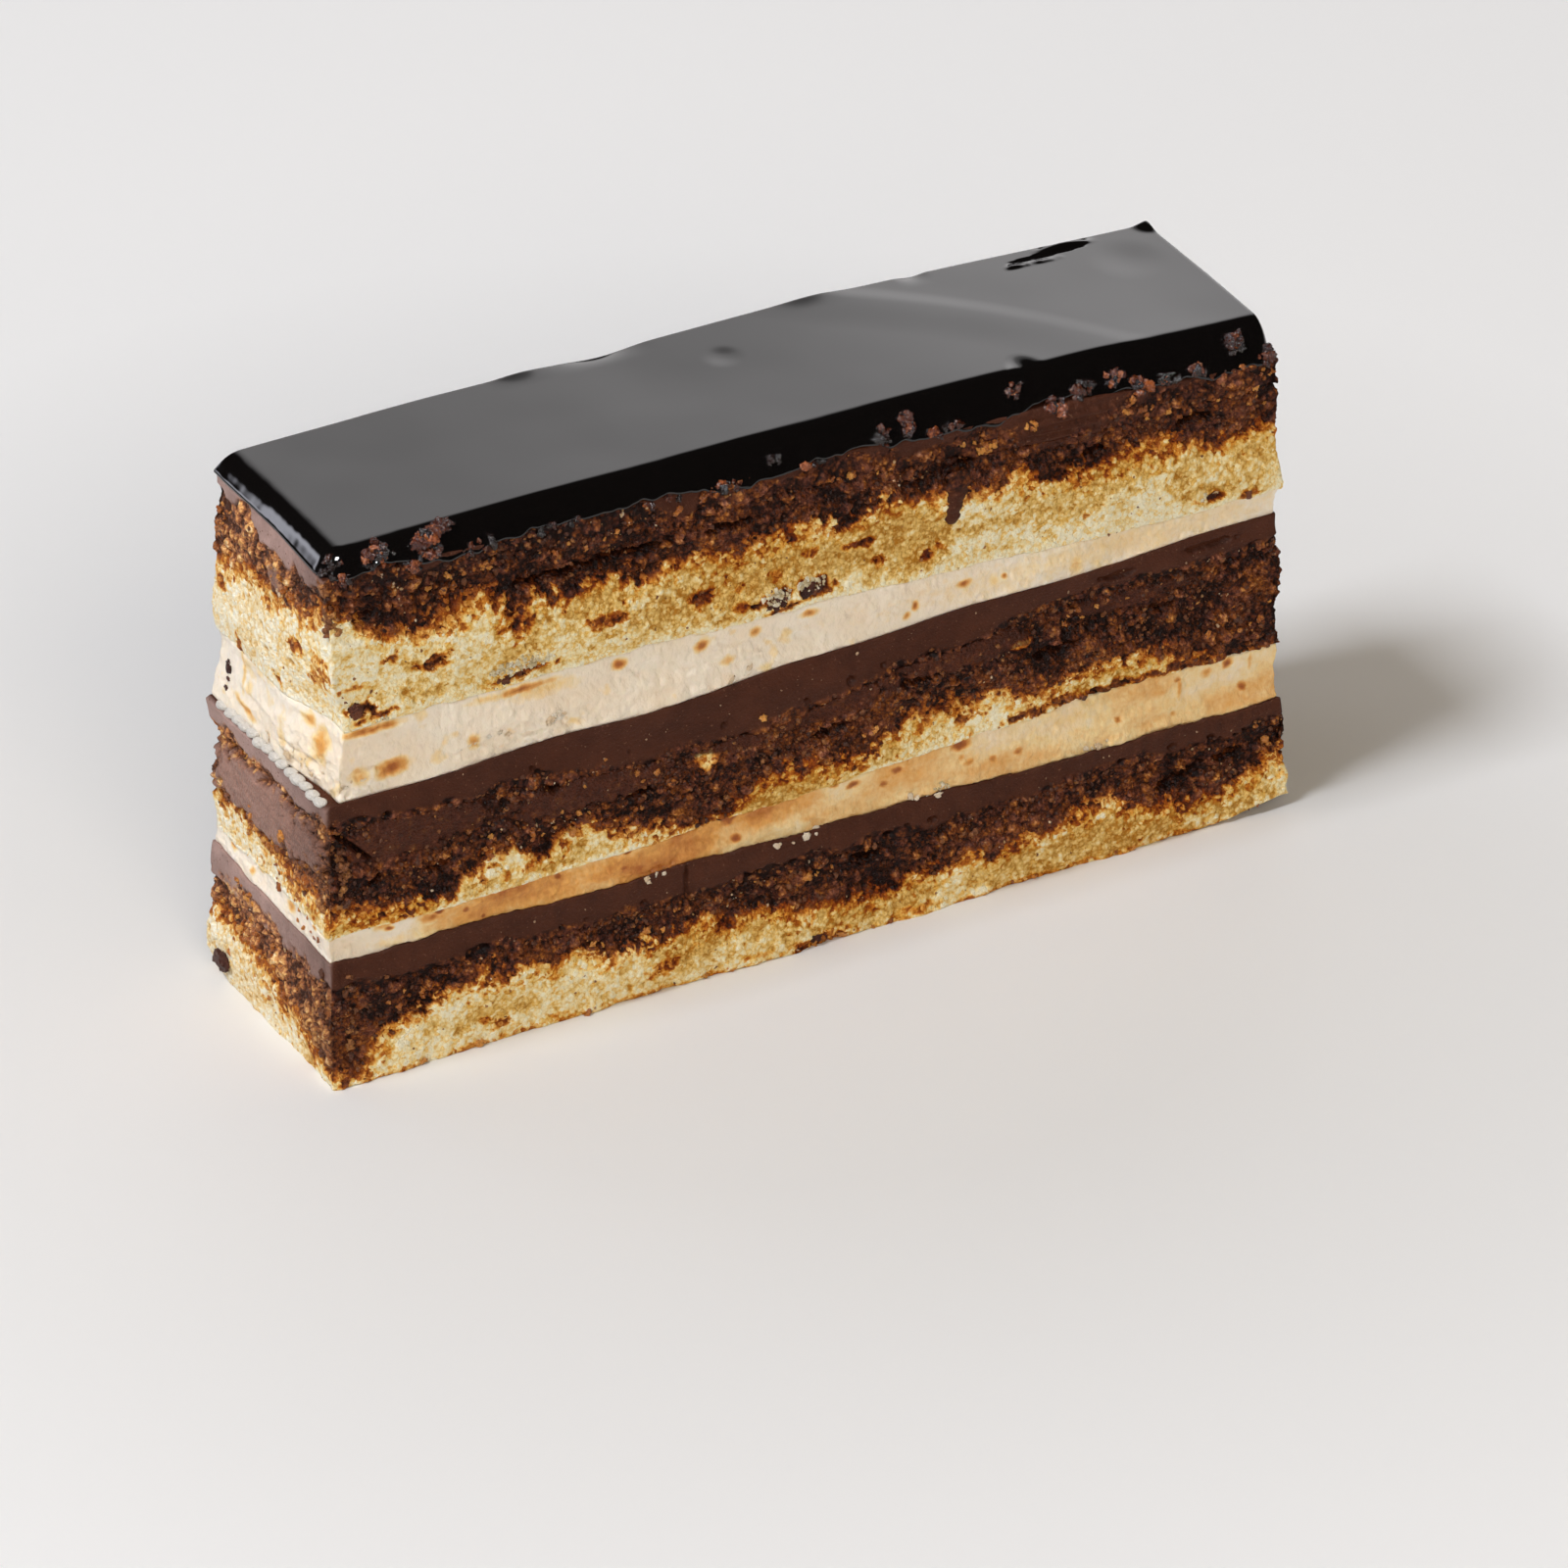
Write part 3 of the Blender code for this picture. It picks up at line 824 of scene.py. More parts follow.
@dataclass
class Slab:
    """One layer of the slice: a drum that is squared off, then cut, pored and smeared.

    Attributes:
        node: the plain solid that it stands for.
        foot: its lower seam.
        head: its upper seam.
        proud: how far its walls stand out, by side.
        belly: how far they bulge at mid height.
        slot: not used.
        pitch: spacing of the rows of points up its wall.
        rim: radius of its upper and lower edges.
        rings: how far in the rings of its ends lie.
        curl: how far its right end turns up.
        drawn_in: how far the near left corner is pressed in, at the foot and at the head.
    """

    node: str
    foot: Seam
    head: Seam
    proud: dict[Side, float]
    belly: float
    slot: str
    pitch: float = 0.2
    rim: float = 0.04
    rings: tuple[float, ...] = (0.5, 1.5, 4.0, 9.0, 12.0)
    curl: float = 0.0
    drawn_in: tuple[float, float] = (0.0, 0.0)
    wall: Wall = field(init=False, repr=False)
    piece: bpy.types.Object = field(init=False, repr=False)
    places: Array = field(init=False, repr=False)
    on_wall: Array = field(init=False, repr=False)
    notes: dict[str, Array] = field(default_factory=dict, repr=False)

    def square_off(self) -> None:
        """Bring a drum to the layer's place and fill in what is known of its wall."""
        high = float(np.mean(self.head.front) - np.mean(self.foot.front))
        flat, normal = SHAPE.outline()
        around, rings = len(flat), len(self.rings)
        rows = max(8, int(high / self.pitch))
        self.piece = grid_drum(self.node + "_cut", around, rows, rings)
        raw = coordinates(self.piece)
        radius = np.hypot(raw[:, 0], raw[:, 1])
        station = np.round(np.arctan2(raw[:, 1], raw[:, 0]) / (2 * np.pi) * around).astype(int) % around
        ring = np.clip(np.round((1 - radius) * (rings + 1)).astype(int), 0, rings)
        share = raw[:, 2] + 0.5
        flat, normal = flat[station], normal[station]
        low, top = self.foot.height(*flat.T), self.head.height(*flat.T)
        level = low * (1 - share) + top * share
        out = SHAPE.flare * (1 - level / SHAPE.height) + self.belly * 4 * share * (1 - share)
        for turn, side in enumerate(Side):
            weight = np.clip(normal @ np.array(side.value), 0, 1) ** 2
            run = flat[:, 1] if side in (Side.LEFT, Side.RIGHT) else flat[:, 0]
            out += weight * (self.proud[side] + sum(side.value) * SHAPE.knife_wave(run, level, turn))
        edge = np.minimum(share, 1 - share) * (top - low)
        bend = np.clip(1 - edge / self.rim, 0, 1)
        out -= self.rim * (1 - np.sqrt(1 - bend**2))
        plan = flat + (2 * flat / (SHAPE.length, SHAPE.width) - 1) * out[:, None]
        inner = np.array((0.0,) + self.rings)[ring]
        middle = np.column_stack([np.clip(plan[:, 0], SHAPE.width / 2, SHAPE.length - SHAPE.width / 2),
                                  np.full(len(plan), SHAPE.width / 2)])
        inward = middle - plan
        inward /= np.linalg.norm(inward, axis=1)[:, None]
        plan = plan + inward * inner[:, None]
        inset = self.drawn_in[0] * (1 - share) + self.drawn_in[1] * share
        plan[:, 0] += inset * swell(plan[:, 1], 11.0) * (1 - smooth(plan[:, 0], -2.0, 12.0))
        low, top = self.foot.height(*plan.T), self.head.height(*plan.T)
        rise = low + (top - low) * share
        rise += self.curl * smooth(plan[:, 0], 106.0, 117.0) * (1 - share)
        self.places = np.column_stack([plan, rise])
        self.on_wall = ring == 0
        pick = self.on_wall
        self.wall = Wall(self.places[pick], normal[pick], share[pick], (top - low)[pick])

    def push(self, out: Array, up: Array | float = 0.0) -> None:
        """Move the wall's points out of the wall and up, in millimetres."""
        moved = self.places[self.on_wall]
        moved[:, :2] += self.wall.face * out[:, None]
        moved[:, 2] += up
        self.places[self.on_wall] = moved
        self.wall.spot = moved

    def note(self, name: str, values: Array, elsewhere: float = 0.0) -> None:
        """Keep a number for each wall point; the ends take one value."""
        every = np.full(len(self.places), elsewhere, np.float32)
        every[self.on_wall] = values
        self.notes[name] = np.asarray(values)
        mark(self.piece, name, every)

    def finish(self, material: bpy.types.Material) -> None:
        """Put the mesh in place, dress it and hand it over."""
        far = smooth(self.wall.spot[:, 1], -1.0, 13.0)
        # painted sheen: the left cut is marked, more strongly towards the back, so the finishes paint it paler as if
        # lit by the side light
        self.note("painted_sheen", self.wall.weight(Side.LEFT) * (0.5 + 0.5 * far))
        put(self.piece, self.places)
        self.piece.data.materials.append(material)
        smooth_faces(self.piece)
        hand_over(self.piece, (self.node,))


@dataclass
class SpongeSlab(Slab):
    """A layer of sponge, soaked down to a line, with pores and crumb on its walls.

    Attributes:
        soak_line: where the soaked part ends.
        fringe: half width of the amber fringe along that line.
        amber: how far the pale part leans to amber.
        stains: soaked spots in the pale part.
        pale_marks: dry spots in the soaked part.
        smears: where ganache is drawn over the wall.
        thick: how far a smear stands out.
        cracks: gaps in the crumb, pressed in and painted near black as painted shade.
        creamy_foot: how pale the cream under it has made its foot.
        frayed: how far its foot strays in and out.
        seed: sets the layer apart from the others.
    """

    soak_line: Line | None = None
    fringe: float = 1.3
    amber: tuple[Blot, ...] = ()
    stains: tuple[Blot, ...] = ()
    pale_marks: tuple[Blot, ...] = ()
    smears: tuple[Blot, ...] = ()
    thick: float = 0.3
    cracks: tuple[Blot, ...] = ()
    creamy_foot: float = 0.3
    frayed: float = 0.0
    seed: int = 1

    def soaking(self) -> Array:
        """How soaked each wall point is, from 0 to 1."""
        wall, spot, seed = self.wall, self.wall.spot, self.seed
        wide = self.fringe * (1.0 + 0.9 * clouds(spot, 9.0, seed + 1, 2))
        _, _, lump = cells(spot + 0.3 * clouds(spot, 1.0, seed + 12, 2)[:, None], 1.1, seed + 10)
        _, _, grit = cells(spot, 0.55, seed + 11)
        above = spot[:, 2] - wall.line(self.soak_line) + 1.7 * clouds(spot, 3.6, seed + 2, 4, 0.8)
        above += 1.5 * (lump - 0.5) + 0.8 * (grit - 0.5)
        soak = np.clip(0.5 + above / (2 * np.maximum(wide, 0.35)), 0, 1)
        closeness = np.exp(np.minimum(above, 0) / 1.8)
        freckles = smooth(clouds(spot, 1.2, seed + 3, 3, 0.6) + 0.75 * closeness, 0.75, 1.2) * 0.62
        stains = 0.84 * blots(wall, self.stains, 1.0, seed + 5, 1.3)
        halo = 0.4 * smooth(above, -2.6, -0.3) * smooth(clouds(spot, 6.0, seed + 13, 2), -1.0, 0.3)
        soak = np.maximum.reduce((soak, freckles, stains, halo))
        return soak * (1 - blots(wall, self.pale_marks, 0.6, seed + 6, 0.8))

    def cut(self, material: bpy.types.Material) -> None:
        """Model the layer."""
        self.square_off()
        wall, spot, seed = self.wall, self.wall.spot, self.seed
        soak = self.soaking()
        smear = blots(wall, self.smears, 0.5, seed + 7, 0.25)
        crack_and_shade = blots(wall, self.cracks, 0.5, seed + 8, 0.5)
        stray = spot + 0.25 * clouds(spot, 0.8, seed + 19, 3)[:, None]
        near, _, owner = cells(stray, 0.75, seed + 20)
        pore = smooth(0.6 - near, 0.0, 0.4) * smooth(np.modf(owner * 137.31)[0], 0.45, 0.8)
        big, _, big_owner = cells(stray, 2.4, seed + 30)
        hole = smooth(0.34 - big, 0.0, 0.22) * (big_owner > 0.78)
        torn = clouds(spot, 1.7, seed + 60, 3, 0.75)
        pale_relief = 0.20 * torn - 0.13 * pore - 0.25 * hole
        dark_relief, grain = crumb_wall(spot)
        wet = smooth(soak, 0.45, 0.8)
        drawn = 0.05 + (self.thick - 0.05) * wall.weight(Side.LEFT)
        drawn = drawn + 0.12 * clouds(spot * (0.5, 0.3, 1.3), 2.0, seed + 70, 3, 0.6)
        pale_relief *= wall.rim(0.35)
        rough = pale_relief * (1 - wet) + dark_relief * wet
        rough += 0.4 * clouds(spot, 2.4, seed + 91, 3, 0.6) * wall.weight(Side.RIGHT)
        rough += self.frayed * clouds(spot * (1.0, 1.0, 0.4), 3.0, seed + 92, 3, 0.6) * (1 - smooth(spot[:, 2], 0.4, 3.0))
        self.push(rough * (1 - smear) + drawn * smear - 1.3 * crack_and_shade * wall.rim(0.2))
        # painted shade: cracks take the soaked crumb's colour, and below their grain is set to its darkest
        self.note("soak", np.maximum(soak, crack_and_shade), 0.9)
        amber = blots(wall, self.amber, 0.8, seed + 9, 1.4)
        # painted shade and light: pores and holes are painted darker and torn crumb that stands out a little paler;
        # the amber, cloud and cream terms are the sponge's own tone
        tone = 0.24 + 0.2 * pore + 0.45 * hole - 0.16 * torn + 0.25 * clouds(spot, 4.5, seed + 80) + 0.48 * amber
        tone += 0.12 * clouds(spot, 14.0, seed + 81, 2)
        creamed = 0.5 * clouds(spot, 2.0, seed + 82) + 0.9 - wall.share * wall.height
        tone -= self.creamy_foot * smooth(creamed, 0.0, 0.8)
        self.note("pore", np.clip(tone, 0, 0.72))
        # painted shade: the grain drops to its darkest in the cracks
        self.note("grain", np.clip(grain, 0, 1) * (1 - crack_and_shade))
        self.note("smear", smear * (1 - crack_and_shade))
        self.finish(material)


@dataclass
class CreamSlab(Slab):
    """A layer of cream: smooth, with knife streaks, torn patches and coffee stains.

    Attributes:
        stains: coffee stains.
        tears: where its skin is torn into flakes.
        wash: how strongly coffee tints the whole layer.
        seed: sets the layer apart from the others.
    """

    stains: tuple[Blot, ...] = ()
    tears: tuple[Blot, ...] = ()
    wash: float = 0.0
    seed: int = 5

    def cut(self, material: bpy.types.Material) -> None:
        """Model the layer."""
        self.square_off()
        wall, spot, seed = self.wall, self.wall.spot, self.seed
        streak = clouds(spot * (0.22, 0.22, 1.6), 1.4, seed)
        soft = clouds(spot, 5.0, seed + 1)
        torn = blots(wall, self.tears, 0.6, seed + 2)
        leaning = spot * (0.4, 0.4, 1.0)
        leaning[:, 2] += 0.12 * spot[:, 0]
        flake, next_flake, owner = cells(leaning, 1.3, seed + 3)
        chips = (owner - 0.55) * 0.9 * (1 - np.clip(flake, 0, 1)) - 0.25 * smooth(0.12 - (next_flake - flake), 0, 0.1)
        relief = 0.17 * streak + 0.12 * soft + 0.14 * clouds(spot, 0.9, seed + 9, 2) + torn * chips
        self.push(relief * wall.rim(0.25))
        stain = 0.74 * blots(wall, self.stains, 0.35, seed + 5, 1.9)
        faint = 0.22 * smooth(clouds(spot, 2.6, seed + 7, 3), 0.3, 0.9)
        wash = self.wash * (0.4 + 0.6 * smooth(clouds(spot * (0.5, 0.5, 1.0), 5.0, seed + 6), -0.7, 0.8))
        wash *= smooth(spot[:, 0], 5.0, 13.0) * (1 - 0.36 * smooth(spot[:, 0], 50.0, 72.0))
        wash *= 1 - wall.weight(Side.LEFT)
        self.note("stain", np.clip(np.maximum(stain, np.maximum(wash, faint)), 0, 1))
        self.finish(material)


@dataclass
class GanacheSlab(Slab):
    """A layer of ganache: dense and smooth, with pits, and crumbs pressed into it.

    Attributes:
        crumb_reach: how far up from its foot the sponge's crumbs cling, on average.
        crumbed: further places where they cling.
        bare: places that are bare of crumb.
        pits: dents, pressed in and painted darker as painted shade.
        scored: depth of the knife's fine upright marks.
        ridged: where the knife has drawn it out in level waves.
        shoulder: how far its upper edge slumps at the left end.
        seed: sets the layer apart from the others.
    """

    crumb_reach: float = 1.0
    crumbed: tuple[Blot, ...] = ()
    bare: tuple[Blot, ...] = ()
    pits: tuple[Blot, ...] = ()
    scored: float = 0.0
    ridged: tuple[Blot, ...] = ()
    shoulder: float = 0.0
    seed: int = 9

    def cut(self, material: bpy.types.Material) -> None:
        """Model the layer."""
        self.square_off()
        wall, spot, seed = self.wall, self.wall.spot, self.seed
        over = self.crumb_reach * (1 + 1.4 * clouds(spot, 6.0, seed + 4, 4, 0.65)) - wall.share * wall.height
        crumbed = np.maximum(smooth(over, -0.35, 0.4), blots(wall, self.crumbed, 0.8, seed + 1, 0.6))
        crumbed *= 1 - blots(wall, self.bare, 0.4, seed + 8)
        relief, grain = crumb_wall(spot)
        pit = blots(wall, self.pits, 0.5, seed + 3)
        wave = np.sin(2 * math.pi * spot[:, 2] / 1.25 + 3.0 * clouds(spot * (0.35, 1.0, 1.0), 3.0, seed + 7, 2))
        smooth_part = 0.08 * clouds(spot * (0.35, 0.35, 1.0), 3.0, seed)
        smooth_part += self.scored * clouds(spot * (1.0, 1.0, 0.2), 0.9, seed + 6, 2)
        smooth_part += blots(wall, self.ridged, 0.4, seed + 9) * (0.25 + 0.22 * wave)
        self.push(smooth_part * wall.rim(0.3) * (1 - crumbed) + crumbed * relief - 0.9 * pit * wall.rim(0.3),
                  -self.shoulder * wall.weight(Side.LEFT) * smooth(wall.share, 0.55, 1.0))
        self.note("crumbed", np.clip(crumbed, 0, 1))
        # painted shade: the grain tone is lowered in the pits
        self.note("grain", np.clip(grain - pit, 0, 1))
        self.finish(material)


# --- glaze ------------------------------------------------------------------------------------
@dataclass
class GlazeSheet:
    """The poured glaze: one sheet that rolls over every edge and ends in a thin bead.

    Attributes:
        front: height at even stations along the front edge, before it rolls over.
        back: the same along the back edge.
        proud: how far its edges stand out: left, right, front, back.
        cells: faces along and across.
        fold: shares of the sheet that roll over the ends, the front and the back.
        reach_ends: how far in the left and the right end begin to roll over.
        reach_front: the same at the front, at the left and at the right.
        reach_back: the same at the back.
        bead: radius of the rolled lower edge.
        steepest: tilt of the roll at its end, in degrees, before it is fitted to its drop.
    """

    front: tuple[float, ...] = (63.5, 63.4, 63.2, 62.9, 62.2, 60.9)
    back: tuple[float, ...] = (63.4, 63.7, 63.5, 63.6, 62.6, 61.6)
    proud: tuple[float, float, float, float] = (0.3, 0.3, 0.3, 0.6)
    cells: tuple[int, int] = (470, 150)
    fold: tuple[float, float, float] = (0.05, 0.24, 0.09)
    reach_ends: tuple[float, float] = (3.4, 1.4)
    reach_front: tuple[float, float] = (2.7, 3.5)
    reach_back: float = 0.8
    bead: float = 0.2
    steepest: float = 40.0
    wall: Wall = field(init=False, repr=False)
    notes: dict[str, Array] = field(default_factory=dict, repr=False)

    def crease(self, x: Array, y: Array) -> Array:
        """The bowed crease that runs from the back to the front right."""
        start, end = np.array((74.0, 25.4)), np.array((98.0, 3.0))
        line = end - start
        share = np.clip(((x - start[0]) * line[0] + (y - start[1]) * line[1]) / (line @ line), 0, 1)
        off = ((x - start[0]) * line[1] - (y - start[1]) * line[0]) / np.linalg.norm(line)
        off = off + 1.6 * np.sin(math.pi * share)
        return 0.13 * (1 - 0.5 * share) * smooth(off, -2.2, 1.0) * swell(np.maximum(off, 0), 8.0)

    def tear(self, x: Array, y: Array) -> Array:
        """The tear near the back right: a dark mouth under an arched lip."""
        lip = 0.45 * swell(y - 24.5, 0.8) * swell(x - 103.0, 4.6)
        mouth = smooth(1.2 - np.hypot((x - 100.5) / 4.8, (y - 23.6 - 0.06 * (x - 100.5)) / 0.28), 0.0, 0.35)
        crumbly = 0.12 * swell(y - 22.4, 0.6) * smooth(4.0 - np.abs(x - 98.0), 0.0, 1.5)
        place = np.column_stack([x, y, np.zeros(len(x))])
        return lip - 0.36 * mouth + crumbly * (1 + clouds(place, 1.0, 507, 2))

    def top(self, x: Array, y: Array) -> Array:
        """Height of the sheet before its edges roll over."""
        depth = np.clip(y / SHAPE.width, 0, 1)
        height = SHAPE.along(self.front, x) * (1 - depth) + SHAPE.along(self.back, x) * depth
        last = np.clip(1 - (SHAPE.width + self.proud[3] - y) / 3.4, 0, 1) ** 2
        height = height + last * (0.3 * swell(x - 36.0, 4.4) - 0.6 * swell(x - 45.5, 6.5))
        height += last * (0.2 * swell(x - 71.5, 5.2) - 0.35 * swell(x - 84.0, 2.4))
        height -= 0.09 * swell(np.hypot(x - 57.0, y - 18.5), 2.6)
        height -= 0.10 * swell(np.hypot(x - 108.0, y - 19.0), 5.0)
        height -= 0.45 * swell(np.hypot((x - 85.0) / 2.6, (y - 1.0) / 4.2), 1.0)
        height += 0.45 * swell(np.hypot(x - 114.4, y - 25.4), 2.6)
        height += self.crease(x, y) + self.tear(x, y)
        place = np.column_stack([x, y, np.zeros(len(x))])
        near = swell(y, 2.6) * smooth(x, 62.0, 92.0)
        height += 0.045 * near * clouds(place, 0.9, 509, 2)
        return height + 0.035 * clouds(place, 13.0, 501, 2)

    def foot(self, x: Array, y: Array) -> Array:
        """Height of the sheet's lower edge."""
        place = np.column_stack([x, y, np.zeros(len(x))])
        ragged = 0.55 * clouds(place, 6.0, 503, 3) + 0.4 * clouds(place, 1.6, 505, 2)
        scallop = 0.9 * np.abs(np.sin(x / 5.1 + 0.6 * np.sin(x / 13.0))) - 0.45
        left_end = (1 - smooth(x, 0.5, 3.5)) * smooth(y, -0.5, 2.0)
        return GLAZE_FOOT.height(x, y) - 0.35 + (ragged + 0.8 * scallop) * (1 - 0.9 * left_end) + 0.5 * left_end

    def roll(self) -> tuple[Array, Array, Array]:
        """Profile of the rolled edge, from flat to its steepest.

        Returns:
            Shares of the way down the edge, of its reach and of its drop.
        """
        way = np.linspace(0, 1, 200)
        tilt = np.radians(self.steepest) * smooth(way, 0.0, 0.85)
        reach, drop = np.cumsum(np.cos(tilt)), np.cumsum(np.sin(tilt))
        return way, reach / reach[-1], drop / drop[-1]

    def place(self, u: Array, v: Array) -> Array:
        """Place of the sheet's points.

        Args:
            u: share along the sheet.
            v: share across it.

        Returns:
            Places in millimetres.
        """
        ends, near_fold, far_fold = self.fold
        near = v < 0.5
        a = np.clip(1 - np.minimum(u, 1 - u) / ends, 0, 1)
        b = np.clip(1 - np.where(near, v / near_fold, (1 - v) / far_fold), 0, 1)
        down = np.maximum(a, b)
        size = np.maximum(np.hypot(a, b), 1e-9)
        part_a, part_b = a / size, b / size
        inner_u = np.clip((u - ends) / (1 - 2 * ends), 0, 1)
        inner_v = np.clip((v - near_fold) / (1 - near_fold - far_fold), 0, 1)
        reach_u = np.where(u < 0.5, *self.reach_ends)
        reach_near = self.reach_front[0] + (self.reach_front[1] - self.reach_front[0]) * inner_u
        reach_v = np.where(near, reach_near, self.reach_back)
        left_, right_, near_, far_ = self.proud
        low_x, high_x = self.reach_ends[0] - left_, SHAPE.length + right_ - self.reach_ends[1]
        low_y, high_y = reach_near - near_, SHAPE.width + far_ - self.reach_back
        x = low_x + (high_x - low_x) * inner_u
        y = low_y + (high_y - low_y) * inner_v
        way, out, drop = self.roll()
        roll_share, bead_share = np.minimum(down / 0.84, 1), np.clip((down - 0.84) / 0.16, 0, 1)
        reach = np.interp(roll_share, way, out)
        sign_x, sign_y = np.where(u < 0.5, -1, 1), np.where(near, -1, 1)
        x = x + sign_x * part_a * reach_u * reach + SHAPE.knife_wave(y, 63.0, 0) * down * part_a
        y = y + sign_y * part_b * reach_v * reach + SHAPE.knife_wave(x, 63.0, 2) * down * part_b
        flat = self.top(x, y)
        fall = np.maximum(flat - self.foot(x, y) - 1.3 * self.bead, 0.3)
        across = np.maximum(np.hypot(part_a * reach_u, part_b * reach_v), 0.3)
        start = np.arctan(fall / across * (drop[-1] - drop[-2]) / (out[-1] - out[-2]))
        angle = start + (math.radians(205) - start) * bead_share
        bead_out = self.bead * (np.sin(angle) - np.sin(start))
        bead_down = self.bead * (np.cos(start) - np.cos(angle))
        x, y = x + sign_x * part_a * bead_out, y + sign_y * part_b * bead_out
        return np.column_stack([x, y, flat - fall * np.interp(roll_share, way, drop) - bead_down])

    def cut(self, material: bpy.types.Material) -> None:
        """Model the glaze."""
        deselect()
        bpy.ops.mesh.primitive_grid_add(x_subdivisions=self.cells[0], y_subdivisions=self.cells[1],
                                        size=2, location=(0, 0, 0))
        piece = bpy.context.object
        piece.name = piece.data.name = "glaze_sheet"
        raw = coordinates(piece)
        u, v = (raw[:, 0] + 1) / 2, (raw[:, 1] + 1) / 2
        places = self.place(u, v)
        put(piece, places)
        front_part = v < self.fold[1] * 0.75
        self.wall = Wall(places[front_part], np.tile((0.0, -1.0), (int(front_part.sum()), 1)),
                         np.zeros(int(front_part.sum())), np.ones(int(front_part.sum())))
        bpy.ops.object.mode_set(mode="EDIT")
        bpy.ops.mesh.select_mode(type="EDGE")
        bpy.ops.mesh.select_all(action="DESELECT")
        bpy.ops.mesh.select_non_manifold()
        middle = tuple(SHAPE.origin() + np.array([SHAPE.length, SHAPE.width, 0]) / 2 * MM)
        for shrink in (0.96, 0.7):
            bpy.ops.mesh.extrude_edges_move()
            bpy.ops.transform.resize(value=(shrink, shrink, 1), center_override=middle)
        bpy.ops.mesh.edge_face_add()
        bpy.ops.mesh.quads_convert_to_tris(quad_method="BEAUTY", ngon_method="BEAUTY")
        bpy.ops.object.mode_set(mode="OBJECT")
        piece.data.materials.append(material)
        smooth_faces(piece)
        hand_over(piece, ("glaze",))


# --- loose bits -------------------------------------------------------------------------------
@dataclass
class Tray:
    """The cut walls of all the layers, to set loose bits on.

    Attributes:
        slabs: the finished layers and the glaze.
    """

    slabs: list[Slab | GlazeSheet]
    spot: Array = field(init=False, repr=False)
    face: Array = field(init=False, repr=False)
    crumb: Array = field(init=False, repr=False)
    pale: Array = field(init=False, repr=False)

    def __post_init__(self) -> None:
        """Gather the walls' points, and how crumbly and how pale each is."""
        self.spot = np.concatenate([slab.wall.spot for slab in self.slabs])
        self.face = np.concatenate([slab.wall.face for slab in self.slabs])
        crumb, pale = [], []
        for slab in self.slabs:
            none = np.zeros(len(slab.wall.spot))
            wet = slab.notes.get("soak", none)
            crumb.append(np.maximum(smooth(wet, 0.6, 0.9), slab.notes.get("crumbed", none))
                         * (1 - slab.notes.get("smear", none)))
            pale.append(1 - smooth(wet, 0.3, 0.6) if "soak" in slab.notes else none)
        self.crumb, self.pale = np.concatenate(crumb), np.concatenate(pale)

    def strew(self, weight: Array, count: int, seed: int) -> Array:
        """Pick wall points at random.

        Args:
            weight: how likely each point is.
            count: how many.
            seed: sets the draw.

        Returns:
            Their numbers.
        """
        rng = np.random.default_rng(seed)
        return rng.choice(len(self.spot), size=count, p=weight / weight.sum())

    def near(self, side: Side, run: Array, height: Array) -> Array:
        """Numbers of the wall points nearest to these places on a side."""
        part = np.flatnonzero(self.face @ np.array(side.value) > 0.9)
        axis = 0 if side in (Side.FRONT, Side.BACK) else 1
        found = []
        for along, up in zip(np.atleast_1d(run), np.atleast_1d(height)):
            off = (self.spot[part, axis] - along) ** 2 + (self.spot[part, 2] - up) ** 2
            found.append(part[np.argmin(off)])
        return np.array(found)

    def heap(self, marks: tuple[Blot, ...], seed: int) -> Array:
        """Wall points drawn inside marks; a mark's strength is how many bits it holds."""
        rng = np.random.default_rng(seed)
        found = []
        for blot in marks:
            count = int(blot.strength)
            turn, out = rng.uniform(0, 2 * math.pi, count), np.sqrt(rng.random(count))
            off = blot.wide * out * np.cos(turn)
            found.append(self.near(blot.side, blot.run + off,
                                   blot.height + blot.slope * off + blot.tall * out * np.sin(turn)))
        return np.concatenate(found)


